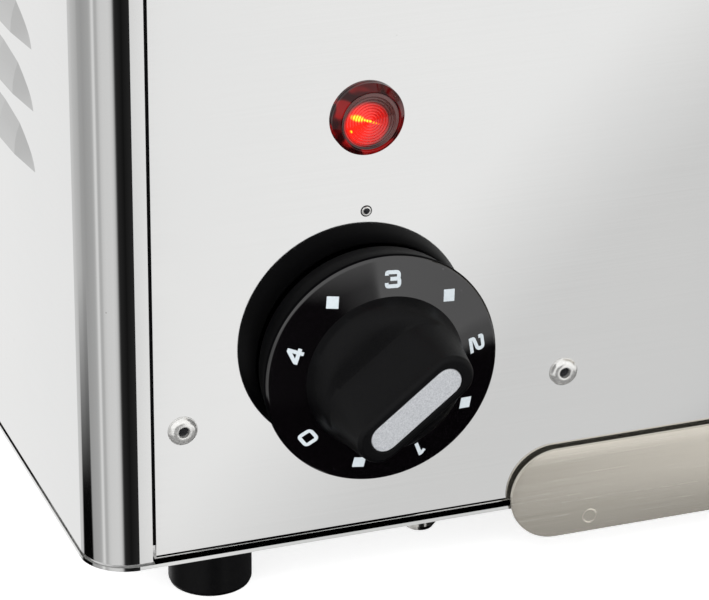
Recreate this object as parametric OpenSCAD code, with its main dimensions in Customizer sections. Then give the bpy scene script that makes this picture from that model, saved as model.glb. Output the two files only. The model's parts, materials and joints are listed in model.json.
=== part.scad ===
// Bench-top electric rotisserie oven: stainless casing with rolled front corners, a control
// column on the left, a side-hung glass door, a driven spit with two forks, tubular heating
// elements and a shallow drip tray that slides out under the door.
// X runs to the right, Y to the back, Z up. The origin is on the table, under the middle of the box.

/* [Casing] */
// Width of the casing across its flat sides
body_w = 640; // [600:10:720]
// Depth of the casing from the front face to the back face
body_d = 430; // [400:10:480]
// Height of the casing from the underside of the base plate to the top
body_h = 412; // [390:2:450]
// Thickness of the stainless sheet
sheet = 1; // [0.8:0.1:1.2]
// Outside radius of the rolled front corners
corner_r = 11.6; // [9:0.1:13]
// Flat lip between the rolled corner and the front panel
corner_lip = 3.4; // [3:0.1:5]
// Gap between the corner lip and the front panel
seam_gap = 0.9; // [0.5:0.1:1.2]
// Gap between the casing and the base plate
base_gap = 0.6; // [0.4:0.1:1]

/* [Feet] */
// Height of a rubber foot
foot_h = 18.3; // [15:0.1:24]
// Radius of a rubber foot
foot_r = 10.6; // [9:0.1:14]
// Distance of a foot's middle from the casing's side
foot_inset_x = 36.7; // [30:0.1:45]
// Distance of a foot's middle from the casing's front or back
foot_inset_y = 22; // [18:1:40]

/* [Louvres] */
// Number of louvres on each side
louvre_count = 12; // [6:1:14]
// Distance between louvres
louvre_pitch = 16.1; // [15:0.1:20]
// Length of a louvre, tip to tip
louvre_len = 130; // [80:5:160]
// Height of a louvre
louvre_h = 9.4; // [7:0.1:11]
// How far a louvre stands out of the side
louvre_out = 2.2; // [1.8:0.1:3.2]
// Length over which a louvre rises at each end
louvre_taper = 26; // [16:1:32]
// Distance of the louvres' front tips from the front face
louvre_inset = 44; // [35:1:60]

/* [Controls] */
// Distance of the knob's axis from the casing's left side
control_inset = 70.5; // [65:0.1:75]
// Height of the knob's axis above the underside of the base plate
knob_rise = 50.4; // [49:0.1:60]
// Radius of the knob's skirt
knob_r = 30; // [26:0.5:31]
// Height of the knob above the front panel
knob_reach = 35; // [32:0.5:42]
// Distance from the front panel to the skirt's rim
rim_reach = 10.2; // [9:0.1:13]
// Height of the dial's sloping face from its rim to the grip
face_rise = 3.2; // [1.5:0.1:4]
// Radius of the grip where it stands on the dial
hub_r = 20.3; // [17:0.1:21]
// Angle between two marks on the dial
dial_step = 38; // [30:0.5:40]
// Angle of the mark 3 from the index pin, clockwise
dial_turn = 5; // [0:1:10]
// Height of the index pin above the knob's axis
pin_rise = 37.4; // [34:0.1:42]
// Distance of the index pin and the pilot lamp to the left of the knob's axis
pin_offset = 0.3; // [0:0.1:1.5]
// Height of the pilot lamp above the knob's axis
lamp_rise = 61.7; // [55:0.1:70]
// Radius of the pilot lamp's lens
lamp_r = 9.2; // [9:0.1:11]
// Height of the motor switch above the knob's axis
switch_rise = 150; // [120:5:200]
// Distance between the two rivets beside the knob
rivet_span = 100; // [90:1:110]

/* [Door and cavity] */
// Distance of the door's left edge from the casing's left side
column_w = 178; // [175:1:200]
// Thickness of the door
door_t = 20; // [19:0.5:24]
// Gap between the door and the front panel
door_gap = 3; // [2.6:0.1:4]
// Width of the door frame's rails
door_rail = 34; // [30:1:40]
// Thickness of the door glass
glass_t = 4; // [3:0.5:5]
// Radius of the door handle's bar
handle_r = 6; // [5:0.5:8]
// Clear space for fingers behind the door handle
finger_gap = 24; // [22:1:34]
// Length of the door handle's bar
handle_len = 170; // [140:5:220]
// Depth of the cavity behind the front panel
cavity_d = 350; // [320:5:370]
// Height of the spit's axis above the underside of the base plate
spit_rise = 220; // [200:5:235]

/* [Spit and heaters] */
// Side of the square spit
spit_a = 9; // [8:0.5:10]
// Radius of a heating element's tube
element_r = 4; // [3:0.25:4.5]
// Distance between the two legs of a heating element
element_pitch = 40; // [30:2:50]
// Length of a fork's tines
tine_len = 78; // [60:2:90]

/* [Drip tray] */
// Height of the tray's front plate
plate_h = 24.6; // [22:0.2:26]
// Distance of the tray's front plate from the casing's left side
plate_inset = 109; // [105:0.5:112]
// Height of the tray's front plate above the table
plate_lift = 9.2; // [7:0.1:11]

/* [Hidden] */
$fn = 64;
eps = 0.01;

// ---- places that everything else is measured from ----
front_reach = door_gap + door_t + finger_gap + 2*handle_r;  // how far the handle stands out
rear_reach = 3;                                             // how far the inlet's flange stands out
front_y = (front_reach - rear_reach - body_d)/2;
back_y = front_y + body_d;
left_x = -body_w/2;
right_x = body_w/2;
base_z = foot_h;
floor_z = base_z + sheet;                 // top of the base plate
shell_z = floor_z + base_gap;             // lower edge of the casing
top_z = base_z + body_h;
seam = corner_r + corner_lip;             // distance of the seam from the casing's side
panel_x0 = left_x + seam + seam_gap;
panel_x1 = right_x - seam - seam_gap;
panel_top = top_z - sheet - base_gap;     // upper edge of the casing's walls
fold_r = 1.6;                             // outside radius of a sharp fold

knob_x = left_x + control_inset;
knob_z = base_z + knob_rise;
pin_x = knob_x - pin_offset;
pin_z = knob_z + pin_rise;
lamp_z = knob_z + lamp_rise;
switch_z = knob_z + switch_rise;
rivet_z = knob_z - 14.05;
rivet_mid_x = knob_x + 2.6;
rivet_x = [rivet_mid_x - rivet_span/2, rivet_mid_x + rivet_span/2];
top_rivet_z = panel_top - 22;

door_x0 = left_x + column_w;
door_x1 = right_x - 20;
door_z0 = foot_h + 38;
door_z1 = top_z - 16;
door_back = front_y - door_gap;           // the door's face towards the oven
door_front = door_back - door_t;
lap = 18;                                 // how far the door laps over the window's edge
window_x0 = door_x0 + lap;
window_x1 = door_x1 - lap;
window_z0 = door_z0 + lap;
window_z1 = door_z1 - lap;
hinge_inset = 8;                          // hinge axis to the door's right edge
hinge_depth = 12;                         // hinge axis to the door's back face
hinge_x = door_x1 - hinge_inset;
hinge_y = door_back - hinge_depth;
hinge_pin_r = 3;
running = 0.05;                           // radial clearance of a running fit

cav_x0 = window_x0 - 6;
cav_x1 = window_x1 + 6;
cav_y0 = front_y + sheet + 0.4;
cav_y1 = front_y + cavity_d;
cav_z1 = window_z1 + 5;

spit_y = front_y + 185;
spit_z = base_z + spit_rise;
socket_x0 = cav_x0 + 3;
socket_len = 22;
rest_x = cav_x1 - 18;                     // left face of the cradle that carries the spit
rest_t = 3;
journal_r = 4;

// ---- drip tray ----
tray_gap = 0.8;
pan_x0 = left_x + plate_inset + 15;
pan_x1 = cav_x1 - 3;
pan_y1 = cav_y1 - 12;
pan_z0 = floor_z + 0.3;
pan_t = 0.8;
notch_z = plate_lift + plate_h - 2.5;     // top of the slot in the front panel
pan_z1 = notch_z - 1;
pan_y0 = front_y - 1.2;                   // outside of the pan's front wall
plate_t = 1;
plate_x0 = left_x + plate_inset;
plate_x1 = pan_x1 + 14;
rail_top = pan_z1 + tray_gap;

shelf_z = knob_z - 22.2;                  // underside of the shelf over the tray
shelf_leg_x = pan_x0 - 12;

// ---- helpers ----
// A box given by its two opposite corners
module slab(a, b) { translate(a) cube(b - a); }

// A 2D shape in (Y, Z) drawn out along X
module along_x(x0, len) { translate([x0, 0, 0]) rotate([90, 0, 90]) linear_extrude(len) children(); }

// A 2D shape in (X, Z) drawn out along Y
module along_y(y0, len) { translate([0, y0 + len, 0]) rotate([90, 0, 0]) linear_extrude(len) children(); }

// Round bars along one axis, from the given point
module bar_x(p, len, r) { translate(p) rotate([0, 90, 0]) cylinder(h = len, r = r); }
module bar_y(p, len, r) { translate(p) rotate([-90, 0, 0]) cylinder(h = len, r = r); }
module bar_z(p, len, r) { translate(p) cylinder(h = len, r = r); }

// A body of revolution whose axis points out of the front, at height z on the front face
module out_front(x, z) { translate([x, front_y, z]) rotate([90, 0, 0]) children(); }

// A quarter of a ring, in the first quadrant
module quarter_ring(ro, ri) {
    intersection() {
        difference() { circle(r = ro); circle(r = ri); }
        square(ro);
    }
}

// A rectangle with round corners, from its two corners
module round_rect(a, b, r) {
    translate(a + [r, 0]) square([b[0] - a[0] - 2*r, b[1] - a[1]]);
    translate(a + [0, r]) square([b[0] - a[0], b[1] - a[1] - 2*r]);
    for (x = [a[0] + r, b[0] - r], y = [a[1] + r, b[1] - r]) translate([x, y]) circle(r = r);
}

// A slot with round ends, along the first axis
module stadium(len, w) {
    square([len - w, w], center = true);
    for (s = [-1, 1]) translate([s*(len - w)/2, 0]) circle(d = w);
}

// A pan-head screw whose head stands on z = 0 and points up; the shank points down
module pan_screw(head_r, head_h, shank_r, len) {
    rotate_extrude() polygon([[0, -len], [shank_r, -len], [shank_r, 0], [head_r, 0], [head_r, head_h*0.45],
                              [head_r*0.78, head_h*0.88], [head_r*0.4, head_h], [head_r*0.35, head_h*0.6],
                              [0, head_h*0.6]]);
}

// ---- casing ----
// The outline that the base plate and the top share, with rolled front corners
module body_outline(grow = 0) {
    r = corner_r + grow;
    x0 = left_x - grow;
    x1 = right_x + grow;
    y0 = front_y - grow;
    y1 = back_y - sheet;
    translate([x0, y0 + r]) square([x1 - x0, y1 - y0 - r]);
    translate([x0 + r, y0]) square([x1 - x0 - 2*r, r]);
    for (x = [x0 + r, x1 - r]) translate([x, y0 + r]) circle(r = r);
}

foot_places = [for (x = [left_x + foot_inset_x, right_x - foot_inset_x],
                    y = [front_y + foot_inset_y, back_y - foot_inset_y]) [x, y]];
// Screws that hold the base plate to the folds above it
base_screw_places = [[knob_x + 16.8, front_y + 6.2], [left_x + 26, back_y - 60], [right_x - 26, front_y + 70],
                     [right_x - 26, back_y - 60], [shelf_leg_x - 7, front_y + 60],
                     [shelf_leg_x - 7, front_y + 260]];

module base_plate() color("gainsboro") difference() {
    translate([0, 0, base_z]) linear_extrude(sheet) body_outline(0.4);
    for (p = foot_places) bar_z([p[0], p[1], base_z - 1], 4, 2.1);
    for (p = base_screw_places) bar_z([p[0], p[1], base_z - 1], 4, 2.6);
    for (i = [0:5]) translate([left_x + 60, front_y + 90 + 16*i, base_z - 1])
        linear_extrude(4) stadium(50, 5);
}

// The sheet of one side in plan: lip, rolled corner, flat side and rear fold
module side_plan() {
    translate([left_x + corner_r, front_y]) square([corner_lip, sheet]);
    translate([left_x + corner_r, front_y + corner_r]) rotate(180) quarter_ring(corner_r, corner_r - sheet);
    translate([left_x, front_y + corner_r]) square([sheet, body_d - corner_r - fold_r - sheet]);
    translate([left_x + fold_r, back_y - sheet - fold_r]) rotate(90) quarter_ring(fold_r, fold_r - sheet);
    translate([left_x + fold_r, back_y - 2*sheet]) square([14, sheet]);
}

louvre_big_r = (louvre_h*louvre_h + louvre_out*louvre_out)/(2*louvre_out);
louvre_y0 = front_y + louvre_inset;
louvre_y1 = louvre_y0 + louvre_len;
louvre_z0 = knob_z + 39.6;

// A spindle shape whose skin is a louvre: a bar that thins in two steps towards each end
module louvre_form(r, z) {
    half = louvre_taper/2;
    steps = [[-1, louvre_out*1.1], [0, louvre_out], [half, louvre_out/4], [louvre_taper, 0]];
    translate([left_x + louvre_big_r - louvre_out, louvre_y0, z]) rotate([-90, 0, 0]) rotate_extrude()
        polygon(concat([[0, -1]], [for (s = steps) [r - s[1], s[0]]],
                       [for (i = [3:-1:0]) [r - steps[i][1], louvre_len - steps[i][0]]], [[0, louvre_len + 1]]));
}

module side_panel() {
    reach = louvre_big_r + 1;
    difference() {
        union() {
            translate([0, 0, shell_z]) linear_extrude(panel_top - shell_z) side_plan();
            for (i = [0:louvre_count - 1]) {
                z = louvre_z0 + i*louvre_pitch;
                intersection() {
                    louvre_form(louvre_big_r, z);
                    slab([left_x - reach, louvre_y0 - reach, z], [left_x + sheet/2, louvre_y1 + reach, z + reach]);
                }
            }
        }
        for (i = [0:louvre_count - 1]) {
            z = louvre_z0 + i*louvre_pitch;
            intersection() {
                louvre_form(louvre_big_r - sheet, z);
                slab([left_x - reach, louvre_y0 - reach, z - eps], [left_x + 2*sheet, louvre_y1 + reach, z + reach]);
            }
        }
        for (z = back_screw_rows) bar_y([left_x + 9, back_y - 3*sheet, z], 4*sheet, 1.9);
    }
}
module left_side_panel() color("lightgray") side_panel();
module right_side_panel() color("lightgray") mirror([1, 0, 0]) side_panel();

top_slots = [for (i = [0:7]) left_x + 42 + 14*i];
module top_panel() color("gainsboro") difference() {
    union() {
        translate([0, 0, top_z - sheet]) linear_extrude(sheet) body_outline(0);
        for (s = [-1, 1]) slab([s*(right_x - sheet - 0.9) - sheet/2, front_y + 14, top_z - 14],
                               [s*(right_x - sheet - 0.9) + sheet/2, back_y - 20, top_z - sheet/2]);
        slab([left_x + 20, front_y + 3.5, top_z - 14], [right_x - 20, front_y + 3.5 + sheet, top_z - sheet/2]);
        slab([left_x + 20, back_y - 2*sheet - 1.2, top_z - 14],
             [right_x - 20, back_y - sheet - 1.2, top_z - sheet/2]);
    }
    for (x = top_slots) translate([x, back_y - 70, top_z - 4]) rotate(90) linear_extrude(8) stadium(60, 5);
    for (x = back_screw_cols) bar_y([x, back_y - 5, top_z - 8], 6, 1.9);
}

back_screw_rows = [shell_z + 22, (shell_z + panel_top)/2, panel_top - 40];
back_screw_cols = [left_x + 120, 0, right_x - 120];
inlet_x = left_x + 62;
inlet_z = base_z + 74;
module back_panel() color("lightgray") difference() {
    slab([left_x + 0.6, back_y - sheet, shell_z], [right_x - 0.6, back_y, top_z - 0.4]);
    for (s = [-1, 1], z = back_screw_rows) bar_y([s*(right_x - 9), back_y - 3, z], 6, 2.1);
    for (x = back_screw_cols) bar_y([x, back_y - 3, top_z - 8], 6, 2.1);
    for (c = [0:1], i = [0:8]) along_y(back_y - 3, 6)
        translate([left_x + 62 + 66*c, base_z + 190 + 13*i]) stadium(52, 5);
    slab([inlet_x - 14, back_y - 3, inlet_z - 11], [inlet_x + 14, back_y + 3, inlet_z + 11]);
    for (s = [-1, 1]) bar_y([inlet_x + s*20, back_y - 3, inlet_z], 6, 1.7);
}

// The front sheet in section, with its two folds
module front_section() {
    translate([front_y, shell_z + fold_r]) square([sheet, panel_top - shell_z - 2*fold_r]);
    translate([front_y + fold_r, shell_z + fold_r]) rotate(180) quarter_ring(fold_r, fold_r - sheet);
    translate([front_y + fold_r, shell_z]) square([11, sheet]);
    translate([front_y + fold_r, panel_top - fold_r]) rotate(90) quarter_ring(fold_r, fold_r - sheet);
}

switch_w = 19.6;
switch_h = 27.6;
module front_panel() color("gainsboro") difference() {
    along_x(panel_x0, panel_x1 - panel_x0) front_section();
    along_y(front_y - 2, 6) round_rect([window_x0, window_z0], [window_x1, window_z1], 6);
    slab([pan_x0 - 1.5, front_y - 2, shell_z - 2], [pan_x1 + 1.5, front_y + 14, notch_z]);
    bar_y([knob_x, front_y - 2, knob_z], 6, 5.2);
    for (s = [-1, 1]) bar_y([knob_x + 14*s, front_y - 2, knob_z], 6, 2.1);
    bar_y([pin_x, front_y - 2, pin_z], 6, 1.2);
    bar_y([pin_x, front_y - 2, lamp_z], 6, lamp_hole_r);
    for (p = rivet_places) bar_y([p[0], front_y - 2, p[1]], 6, rivet_r);
    slab([knob_x - switch_w/2 - 0.2, front_y - 2, switch_z - switch_h/2 - 0.2],
         [knob_x + switch_w/2 + 0.2, front_y + 4, switch_z + switch_h/2 + 0.2]);
    for (p = hinge_screw_places) bar_y([p[0], front_y - 2, p[1]], 6, 1.9);
    bar_z([base_screw_places[0][0], base_screw_places[0][1], base_z], 6, 2.3);
}

module control_shelf() color("silver") difference() {
    union() {
        slab([shelf_leg_x, cav_y0 + 3, shelf_z], [cav_x0 - sheet - 0.3, pan_y1 + 4, shelf_z + sheet]);
        slab([shelf_leg_x, cav_y0 + 3, floor_z], [shelf_leg_x + sheet, pan_y1 + 4, shelf_z + sheet/2]);
        slab([shelf_leg_x - 14, cav_y0 + 14, floor_z], [shelf_leg_x + sheet/2, pan_y1 + 4, floor_z + sheet]);
    }
    for (i = [4, 5]) bar_z([base_screw_places[i][0], base_screw_places[i][1], floor_z - 1], 4, 2.3);
}

bracket_t = 1.2;
module control_bracket() color("silver") difference() {
    y0 = front_y + sheet;
    union() {
        slab([rivet_x[0] - 6, y0, rivet_z - 6], [rivet_x[1] + 6, y0 + bracket_t, knob_z + 24]);
        slab([rivet_x[0] - 6, y0 + bracket_t/2, knob_z + 24 - bracket_t], [rivet_x[1] + 6, y0 + 11, knob_z + 24]);
    }
    for (x = rivet_x) bar_y([x, y0 - 1, rivet_z], 4, rivet_r);
    bar_y([knob_x, y0 - 1, knob_z], 4, 5.2);
    for (s = [-1, 1]) bar_y([knob_x + 14*s, y0 - 1, knob_z], 4, 2.1);
}

// ---- cavity ----
element_y = [front_y + 110, front_y + 230];     // front leg of each upper element
element_z = cav_z1 - 16;
lower_y = cav_y1 - 15;
lower_z = base_z + 70;
// The legs of all elements, as [y, z]
legs = [for (y = element_y, s = [0, 1]) [y + s*element_pitch, element_z],
        for (s = [0, 1]) [lower_y, lower_z + s*element_pitch]];
leg_clear = 0.2;
motor_screw_places = [for (sy = [-1, 1], sz = [-1, 1]) [spit_y + 24*sy, spit_z + 24*sz]];
cutout_y = spit_y + 100;
cutout_z = spit_z + 60;

module liner_left_wall() color("silver") difference() {
    slab([cav_x0 - sheet, cav_y0, shelf_z + sheet + 0.3], [cav_x0, cav_y1 + sheet, cav_z1]);
    bar_x([cav_x0 - 3, spit_y, spit_z], 6, 6.5);
    for (p = legs) bar_x([cav_x0 - 3, p[0], p[1]], 6, element_r + leg_clear);
    for (p = motor_screw_places) bar_x([cav_x0 - 3, p[0], p[1]], 6, 2.1);
    for (s = [-1, 1]) bar_x([cav_x0 - 3, cutout_y + 13*s, cutout_z], 6, 2.1);
}

module liner_right_wall() color("silver") difference() {
    slab([cav_x1, cav_y0, rail_top + 2*sheet + 0.3], [cav_x1 + sheet, cav_y1 + sheet, cav_z1]);
    for (s = [-1, 1]) bar_x([cav_x1 - 3, spit_y + 14*s, spit_z - 22], 6, 2.1);
}

module liner_back_wall() color("silver")
    slab([cav_x0, cav_y1, rail_top + 2*sheet + 0.3], [cav_x1, cav_y1 + sheet, cav_z1]);

module liner_roof() color("silver")
    slab([cav_x0 - sheet, cav_y0, cav_z1], [cav_x1 + sheet, cav_y1 + sheet, cav_z1 + sheet]);

// Two folded rails on the base plate that guide the pan
module tray_rails() color("silver") for (s = [-1, 1]) {
    x = s < 0 ? pan_x0 - tray_gap : pan_x1 + tray_gap;
    y0 = front_y + 16;
    slab([s < 0 ? x - sheet : x, y0, floor_z], [s < 0 ? x : x + sheet, pan_y1 + 2, rail_top]);
    slab([s < 0 ? x - sheet : x - 5, y0, rail_top - eps],
         [s < 0 ? x + 5 : x + sheet, pan_y1 + 2, rail_top + sheet]);
}

// ---- feet and fasteners ----
module rubber_feet() color("black") for (p = foot_places) translate([p[0], p[1], 0]) difference() {
    rotate_extrude() polygon([[0, 0], [foot_r - 1.2, 0], [foot_r - 0.4, 0.5], [foot_r, 1.4],
                              [foot_r, foot_h], [0, foot_h]]);
    translate([0, 0, -1]) cylinder(h = 10, r = 5.2);
    translate([0, 0, 8]) cylinder(h = foot_h, r = 2.1);
}

module foot_screws() color("silver") for (p = foot_places)
    translate([p[0], p[1], 9]) mirror([0, 0, 1]) pan_screw(4, 2.6, 2, foot_h - 9 + sheet);

module base_screws() color("silver") for (p = base_screw_places) translate([p[0], p[1], base_z]) {
    mirror([0, 0, 1]) difference() {
        union() {
            cylinder(h = 0.8, r = 5);
            translate([0, 0, 0.8 - eps]) pan_screw(4.4, 3.3, 2.2, 0.8);
        }
    }
    translate([0, 0, -1]) cylinder(h = sheet + 5, r = 2.2);
}

rivet_r = 2;
rivet_places = [for (x = rivet_x) [x, rivet_z], for (x = rivet_x) [x, top_rivet_z]];
// A blind rivet seen from outside: domed head with the open end of its bore
module rivet(grip) {
    rotate_extrude() polygon([[0, -grip - 3], [rivet_r*0.8, -grip - 3], [rivet_r*1.4, -grip - 1.6],
                              [rivet_r*1.4, -grip], [rivet_r, -grip], [rivet_r, 0], [4, 0], [4, 0.35],
                              [3.75, 0.85], [3, 1.3], [2, 1.45], [1.25, 1.35], [1.05, 0.2], [0, 0.2]]);
}
module front_rivets() color("silver") for (p = rivet_places)
    out_front(p[0], p[1]) rivet(p[1] == rivet_z ? sheet + bracket_t : sheet);

module shell_screws() color("silver") {
    for (s = [-1, 1], z = back_screw_rows)
        translate([s*(right_x - 9), back_y, z]) rotate([-90, 0, 0]) pan_screw(3.5, 2.4, 1.9, 8);
    for (x = back_screw_cols)
        translate([x, back_y, top_z - 8]) rotate([-90, 0, 0]) pan_screw(3.5, 2.4, 1.9, 8);
}

module inner_screws() color("silver") {
    for (p = motor_screw_places) translate([cav_x0, p[0], p[1]])
        rotate([0, 90, 0]) pan_screw(3.6, 2.2, 2, 8);
    for (s = [-1, 1]) translate([cav_x0, cutout_y + 13*s, cutout_z])
        rotate([0, 90, 0]) pan_screw(3.6, 2.2, 2, 8);
    for (s = [-1, 1]) translate([cav_x1 - 2, spit_y + 14*s, spit_z - 22])
        rotate([0, -90, 0]) pan_screw(3.6, 2.2, 2, 7);
    for (s = [-1, 1]) out_front(knob_x + 14*s, knob_z) pan_screw(3.6, 2.2, 2, sheet + bracket_t + 5);
}

// ---- control panel ----
module index_pin() color("silver") out_front(pin_x, pin_z)
    rotate_extrude() polygon([[0, -4], [1.2, -4], [1.2, 0], [1.5, 0], [1.5, 0.25], [1.3, 0.45], [0.75, 0.45],
                              [0.75, -0.6], [0, -0.6]]);

lamp_hole_r = 8;
module pilot_lens() color("red") out_front(pin_x, lamp_z)
    rotate_extrude() polygon([[0, 0], [lamp_r, 0], [lamp_r, 1.2], [lamp_r - 1.5, 3], [lamp_r - 2, 3],
                              [lamp_r - 2.3, 2.5], [0, 2.5]]);

module pilot_body() color("black") out_front(pin_x, lamp_z) {
    rotate_extrude() polygon([[0, -24], [6.4, -24], [6.4, -8], [lamp_hole_r - 0.15, -8],
                              [lamp_hole_r - 0.15, -eps], [0, -eps]]);
    for (s = [-1, 1]) translate([3*s - 0.4, -2.4, -31]) cube([0.8, 4.8, 7.5]);
}

spindle_r = 3;
reg_y0 = front_y + sheet + bracket_t;
module regulator_body() color("ivory") difference() {
    union() {
        slab([knob_x - 19, reg_y0, knob_z - 19], [knob_x + 19, reg_y0 + 34, knob_z + 19]);
        for (i = [-1, 0, 1], s = [-1, 1]) slab([knob_x + 11*i - 3, reg_y0 + 33, knob_z + 10*s - 0.4],
                                               [knob_x + 11*i + 3, reg_y0 + 42, knob_z + 10*s + 0.4]);
    }
    bar_y([knob_x, reg_y0 - 1, knob_z], 21, spindle_r + running);
    for (s = [-1, 1]) bar_y([knob_x + 14*s, reg_y0 - 1, knob_z], 8, 2);
}

// Everything that turns with the knob is drawn around the spindle, with Z out of the front
module on_spindle() { translate([knob_x, front_y, knob_z]) rotate([90, 0, 0]) children(); }

face_reach = rim_reach + face_rise;       // height of the dial's face at the grip
blade_angle = 90 - (dial_turn + 6*dial_step);   // the grip points at the mark 0
blade_len = 33.5;
blade_w = 11;
module knob_skirt() color("black") on_spindle() rotate_extrude() polygon([
    [hub_r - 1, face_reach - 2.2], [knob_r - 3.4, rim_reach - 2.2], [knob_r - 3.4, 1.2], [knob_r - 1.7, 1.2],
    [knob_r, rim_reach - 0.4], [knob_r, rim_reach], [knob_r - 1.2, rim_reach + 0.9],
    [hub_r - 1, face_reach]]);

module knob_grip() color("dimgray") on_spindle() difference() {
    union() {
        rotate_extrude() polygon([[0, 2], [9, 2], [9, face_reach - 2.2], [hub_r - 1, face_reach - 2.2],
                                  [hub_r - 1, face_reach], [hub_r, face_reach], [hub_r - 0.6, face_reach + 5],
                                  [hub_r - 3, face_reach + 9], [0, face_reach + 11]]);
        rotate(blade_angle) translate([0, 0, face_reach]) linear_extrude(knob_reach - face_reach)
            stadium(blade_len, blade_w);
    }
    translate([0, 0, 1]) cylinder(h = 20, r = spindle_r);
    rotate(blade_angle) translate([0, 0, knob_reach - 0.6]) linear_extrude(2) stadium(inlay_len, inlay_w);
}

inlay_len = 27;
inlay_w = 6.9;
module knob_inlay() color("silver") on_spindle() rotate(blade_angle)
    translate([0, 0, knob_reach - 0.6]) linear_extrude(0.5) stadium(inlay_len, inlay_w);

module regulator_spindle() color("goldenrod") on_spindle()
    translate([0, 0, -sheet - bracket_t - 19]) cylinder(h = sheet + bracket_t + 19 + 21, r = spindle_r);

// ---- motor switch ----
rocker_r = 12.4;
rocker_w = 16;
rocker_tip = 7;                           // how far the rocker tips to either side
pivot_y = front_y + 5;
module switch_frame() color("black") difference() {
    union() {
        along_y(front_y - 1.8, 1.8)
            round_rect([knob_x - 11.5, switch_z - 15.5], [knob_x + 11.5, switch_z + 15.5], 1.5);
        slab([knob_x - switch_w/2, front_y - eps, switch_z - switch_h/2],
             [knob_x + switch_w/2, front_y + 22, switch_z + switch_h/2]);
        for (s = [-1, 0, 1]) slab([knob_x - 3, front_y + 21, switch_z + 8*s - 0.4],
                                  [knob_x + 3, front_y + 31, switch_z + 8*s + 0.4]);
    }
    slab([knob_x - rocker_w/2 - 0.4, front_y - 3, switch_z - 13],
         [knob_x + rocker_w/2 + 0.4, front_y + 19, switch_z + 13]);
}

// A rocker cut from a round bar about its pivot, with a shallow V for its face. It is tipped to on,
// with its upper half pressed in
module switch_rocker() color("black") translate([0, pivot_y, switch_z]) rotate([-rocker_tip, 0, 0])
    difference() {
        bar_x([knob_x - rocker_w/2, 0, 0], rocker_w, rocker_r);
        along_x(knob_x - rocker_w, 2*rocker_w)
            polygon([[-8, -20], [-8.4, -11], [-5.2, 0], [-8.4, 11], [-8, 20], [-40, 20], [-40, -20]]);
    }

// ---- electrical parts inside ----
block_x = shelf_leg_x + 10;
block_y = front_y + 240;
module terminal_block() color("ivory") difference() {
    union() {
        slab([block_x, block_y, shelf_z + sheet], [block_x + 50, block_y + 22, shelf_z + sheet + 9]);
        for (i = [0:4]) slab([block_x + 2 + 9.6*i, block_y + 3, shelf_z + sheet + 8],
                             [block_x + 9.6 + 9.6*i, block_y + 19, shelf_z + sheet + 17]);
    }
    for (i = [0:4], s = [0, 1])
        bar_z([block_x + 5.8 + 9.6*i, block_y + 6.5 + 9*s, shelf_z + sheet + 12], 8, 1.8);
}

module inlet_socket() color("black") difference() {
    union() {
        along_y(back_y, rear_reach)
            round_rect([inlet_x - 25, inlet_z - 12.5], [inlet_x + 25, inlet_z + 12.5], 4);
        slab([inlet_x - 13.8, back_y - 28, inlet_z - 10.8], [inlet_x + 13.8, back_y + eps, inlet_z + 10.8]);
    }
    slab([inlet_x - 11.8, back_y - 20, inlet_z - 8.2], [inlet_x + 11.8, back_y + 5, inlet_z + 8.2]);
    for (i = [-1, 0, 1]) slab([inlet_x + 7*i - 1, back_y - 29, inlet_z - 2 + (i == 0 ? 3 : -1)],
                              [inlet_x + 7*i + 1, back_y - 19, inlet_z + 2 + (i == 0 ? 3 : -1)]);
    for (s = [-1, 1]) bar_y([inlet_x + s*20, back_y - 1, inlet_z], 6, 1.7);
}

module inlet_pins() color("goldenrod") for (i = [-1, 0, 1])
    slab([inlet_x + 7*i - 1, back_y - 38, inlet_z - 2 + (i == 0 ? 3 : -1)],
         [inlet_x + 7*i + 1, back_y - 5, inlet_z + 2 + (i == 0 ? 3 : -1)]);

gearbox_len = 44;
shaft_r = 4;
module motor_gearbox() color("silver") difference() {
    x1 = cav_x0 - sheet;
    along_x(x1 - gearbox_len, gearbox_len)
        round_rect([spit_y - 31, spit_z - 31], [spit_y + 31, spit_z + 31], 6);
    bar_x([x1 - 30, spit_y, spit_z], 31, shaft_r + running);
    for (p = motor_screw_places) bar_x([x1 - 7.2, p[0], p[1]], 9, 2);
}

module motor_can() color("dimgray") {
    x1 = cav_x0 - sheet - gearbox_len;
    bar_x([x1 - 30, spit_y + 6, spit_z], 30, 25);
    bar_x([x1 - 34, spit_y + 6, spit_z], 4 + eps, 9);
}

module thermal_cutout() color("ivory") difference() {
    x1 = cav_x0 - sheet;
    union() {
        slab([x1 - 1, cutout_y - 17, cutout_z - 6], [x1, cutout_y + 17, cutout_z + 6]);
        bar_x([x1 - 11, cutout_y, cutout_z], 11, 8);
    }
    for (s = [-1, 1]) bar_x([x1 - 3, cutout_y + 13*s, cutout_z], 4, 2);
}

// One hairpin: two legs through the left wall and a half turn at the right
module hairpin(length) {
    x0 = cav_x0 - sheet - 14;
    for (s = [0, 1]) {
        bar_x([x0, s*element_pitch, 0], length, element_r);
        bar_x([x0 - 14, s*element_pitch, 0], 14 + eps, 1.8);
    }
    translate([x0 + length, element_pitch/2, 0]) rotate(-90)
        rotate_extrude(angle = 180) translate([element_pitch/2, 0]) circle(r = element_r);
}
hairpin_len = cav_x1 - cav_x0 - element_pitch/2 - 16;
module upper_element_front() color("dimgray") translate([0, element_y[0], element_z]) hairpin(hairpin_len);
module upper_element_rear() color("dimgray") translate([0, element_y[1], element_z]) hairpin(hairpin_len);
module lower_element() color("dimgray") translate([0, lower_y, lower_z]) rotate([90, 0, 0]) hairpin(hairpin_len);

module element_insulators() color("white") for (p = legs) difference() {
    x1 = cav_x0 - sheet;
    union() {
        bar_x([x1 - 7, p[0], p[1]], 7, element_r + 4);
        bar_x([x1 - 11, p[0], p[1]], 5, element_r + 2.2);
    }
    bar_x([x1 - 12, p[0], p[1]], 13, element_r);
}

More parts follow.
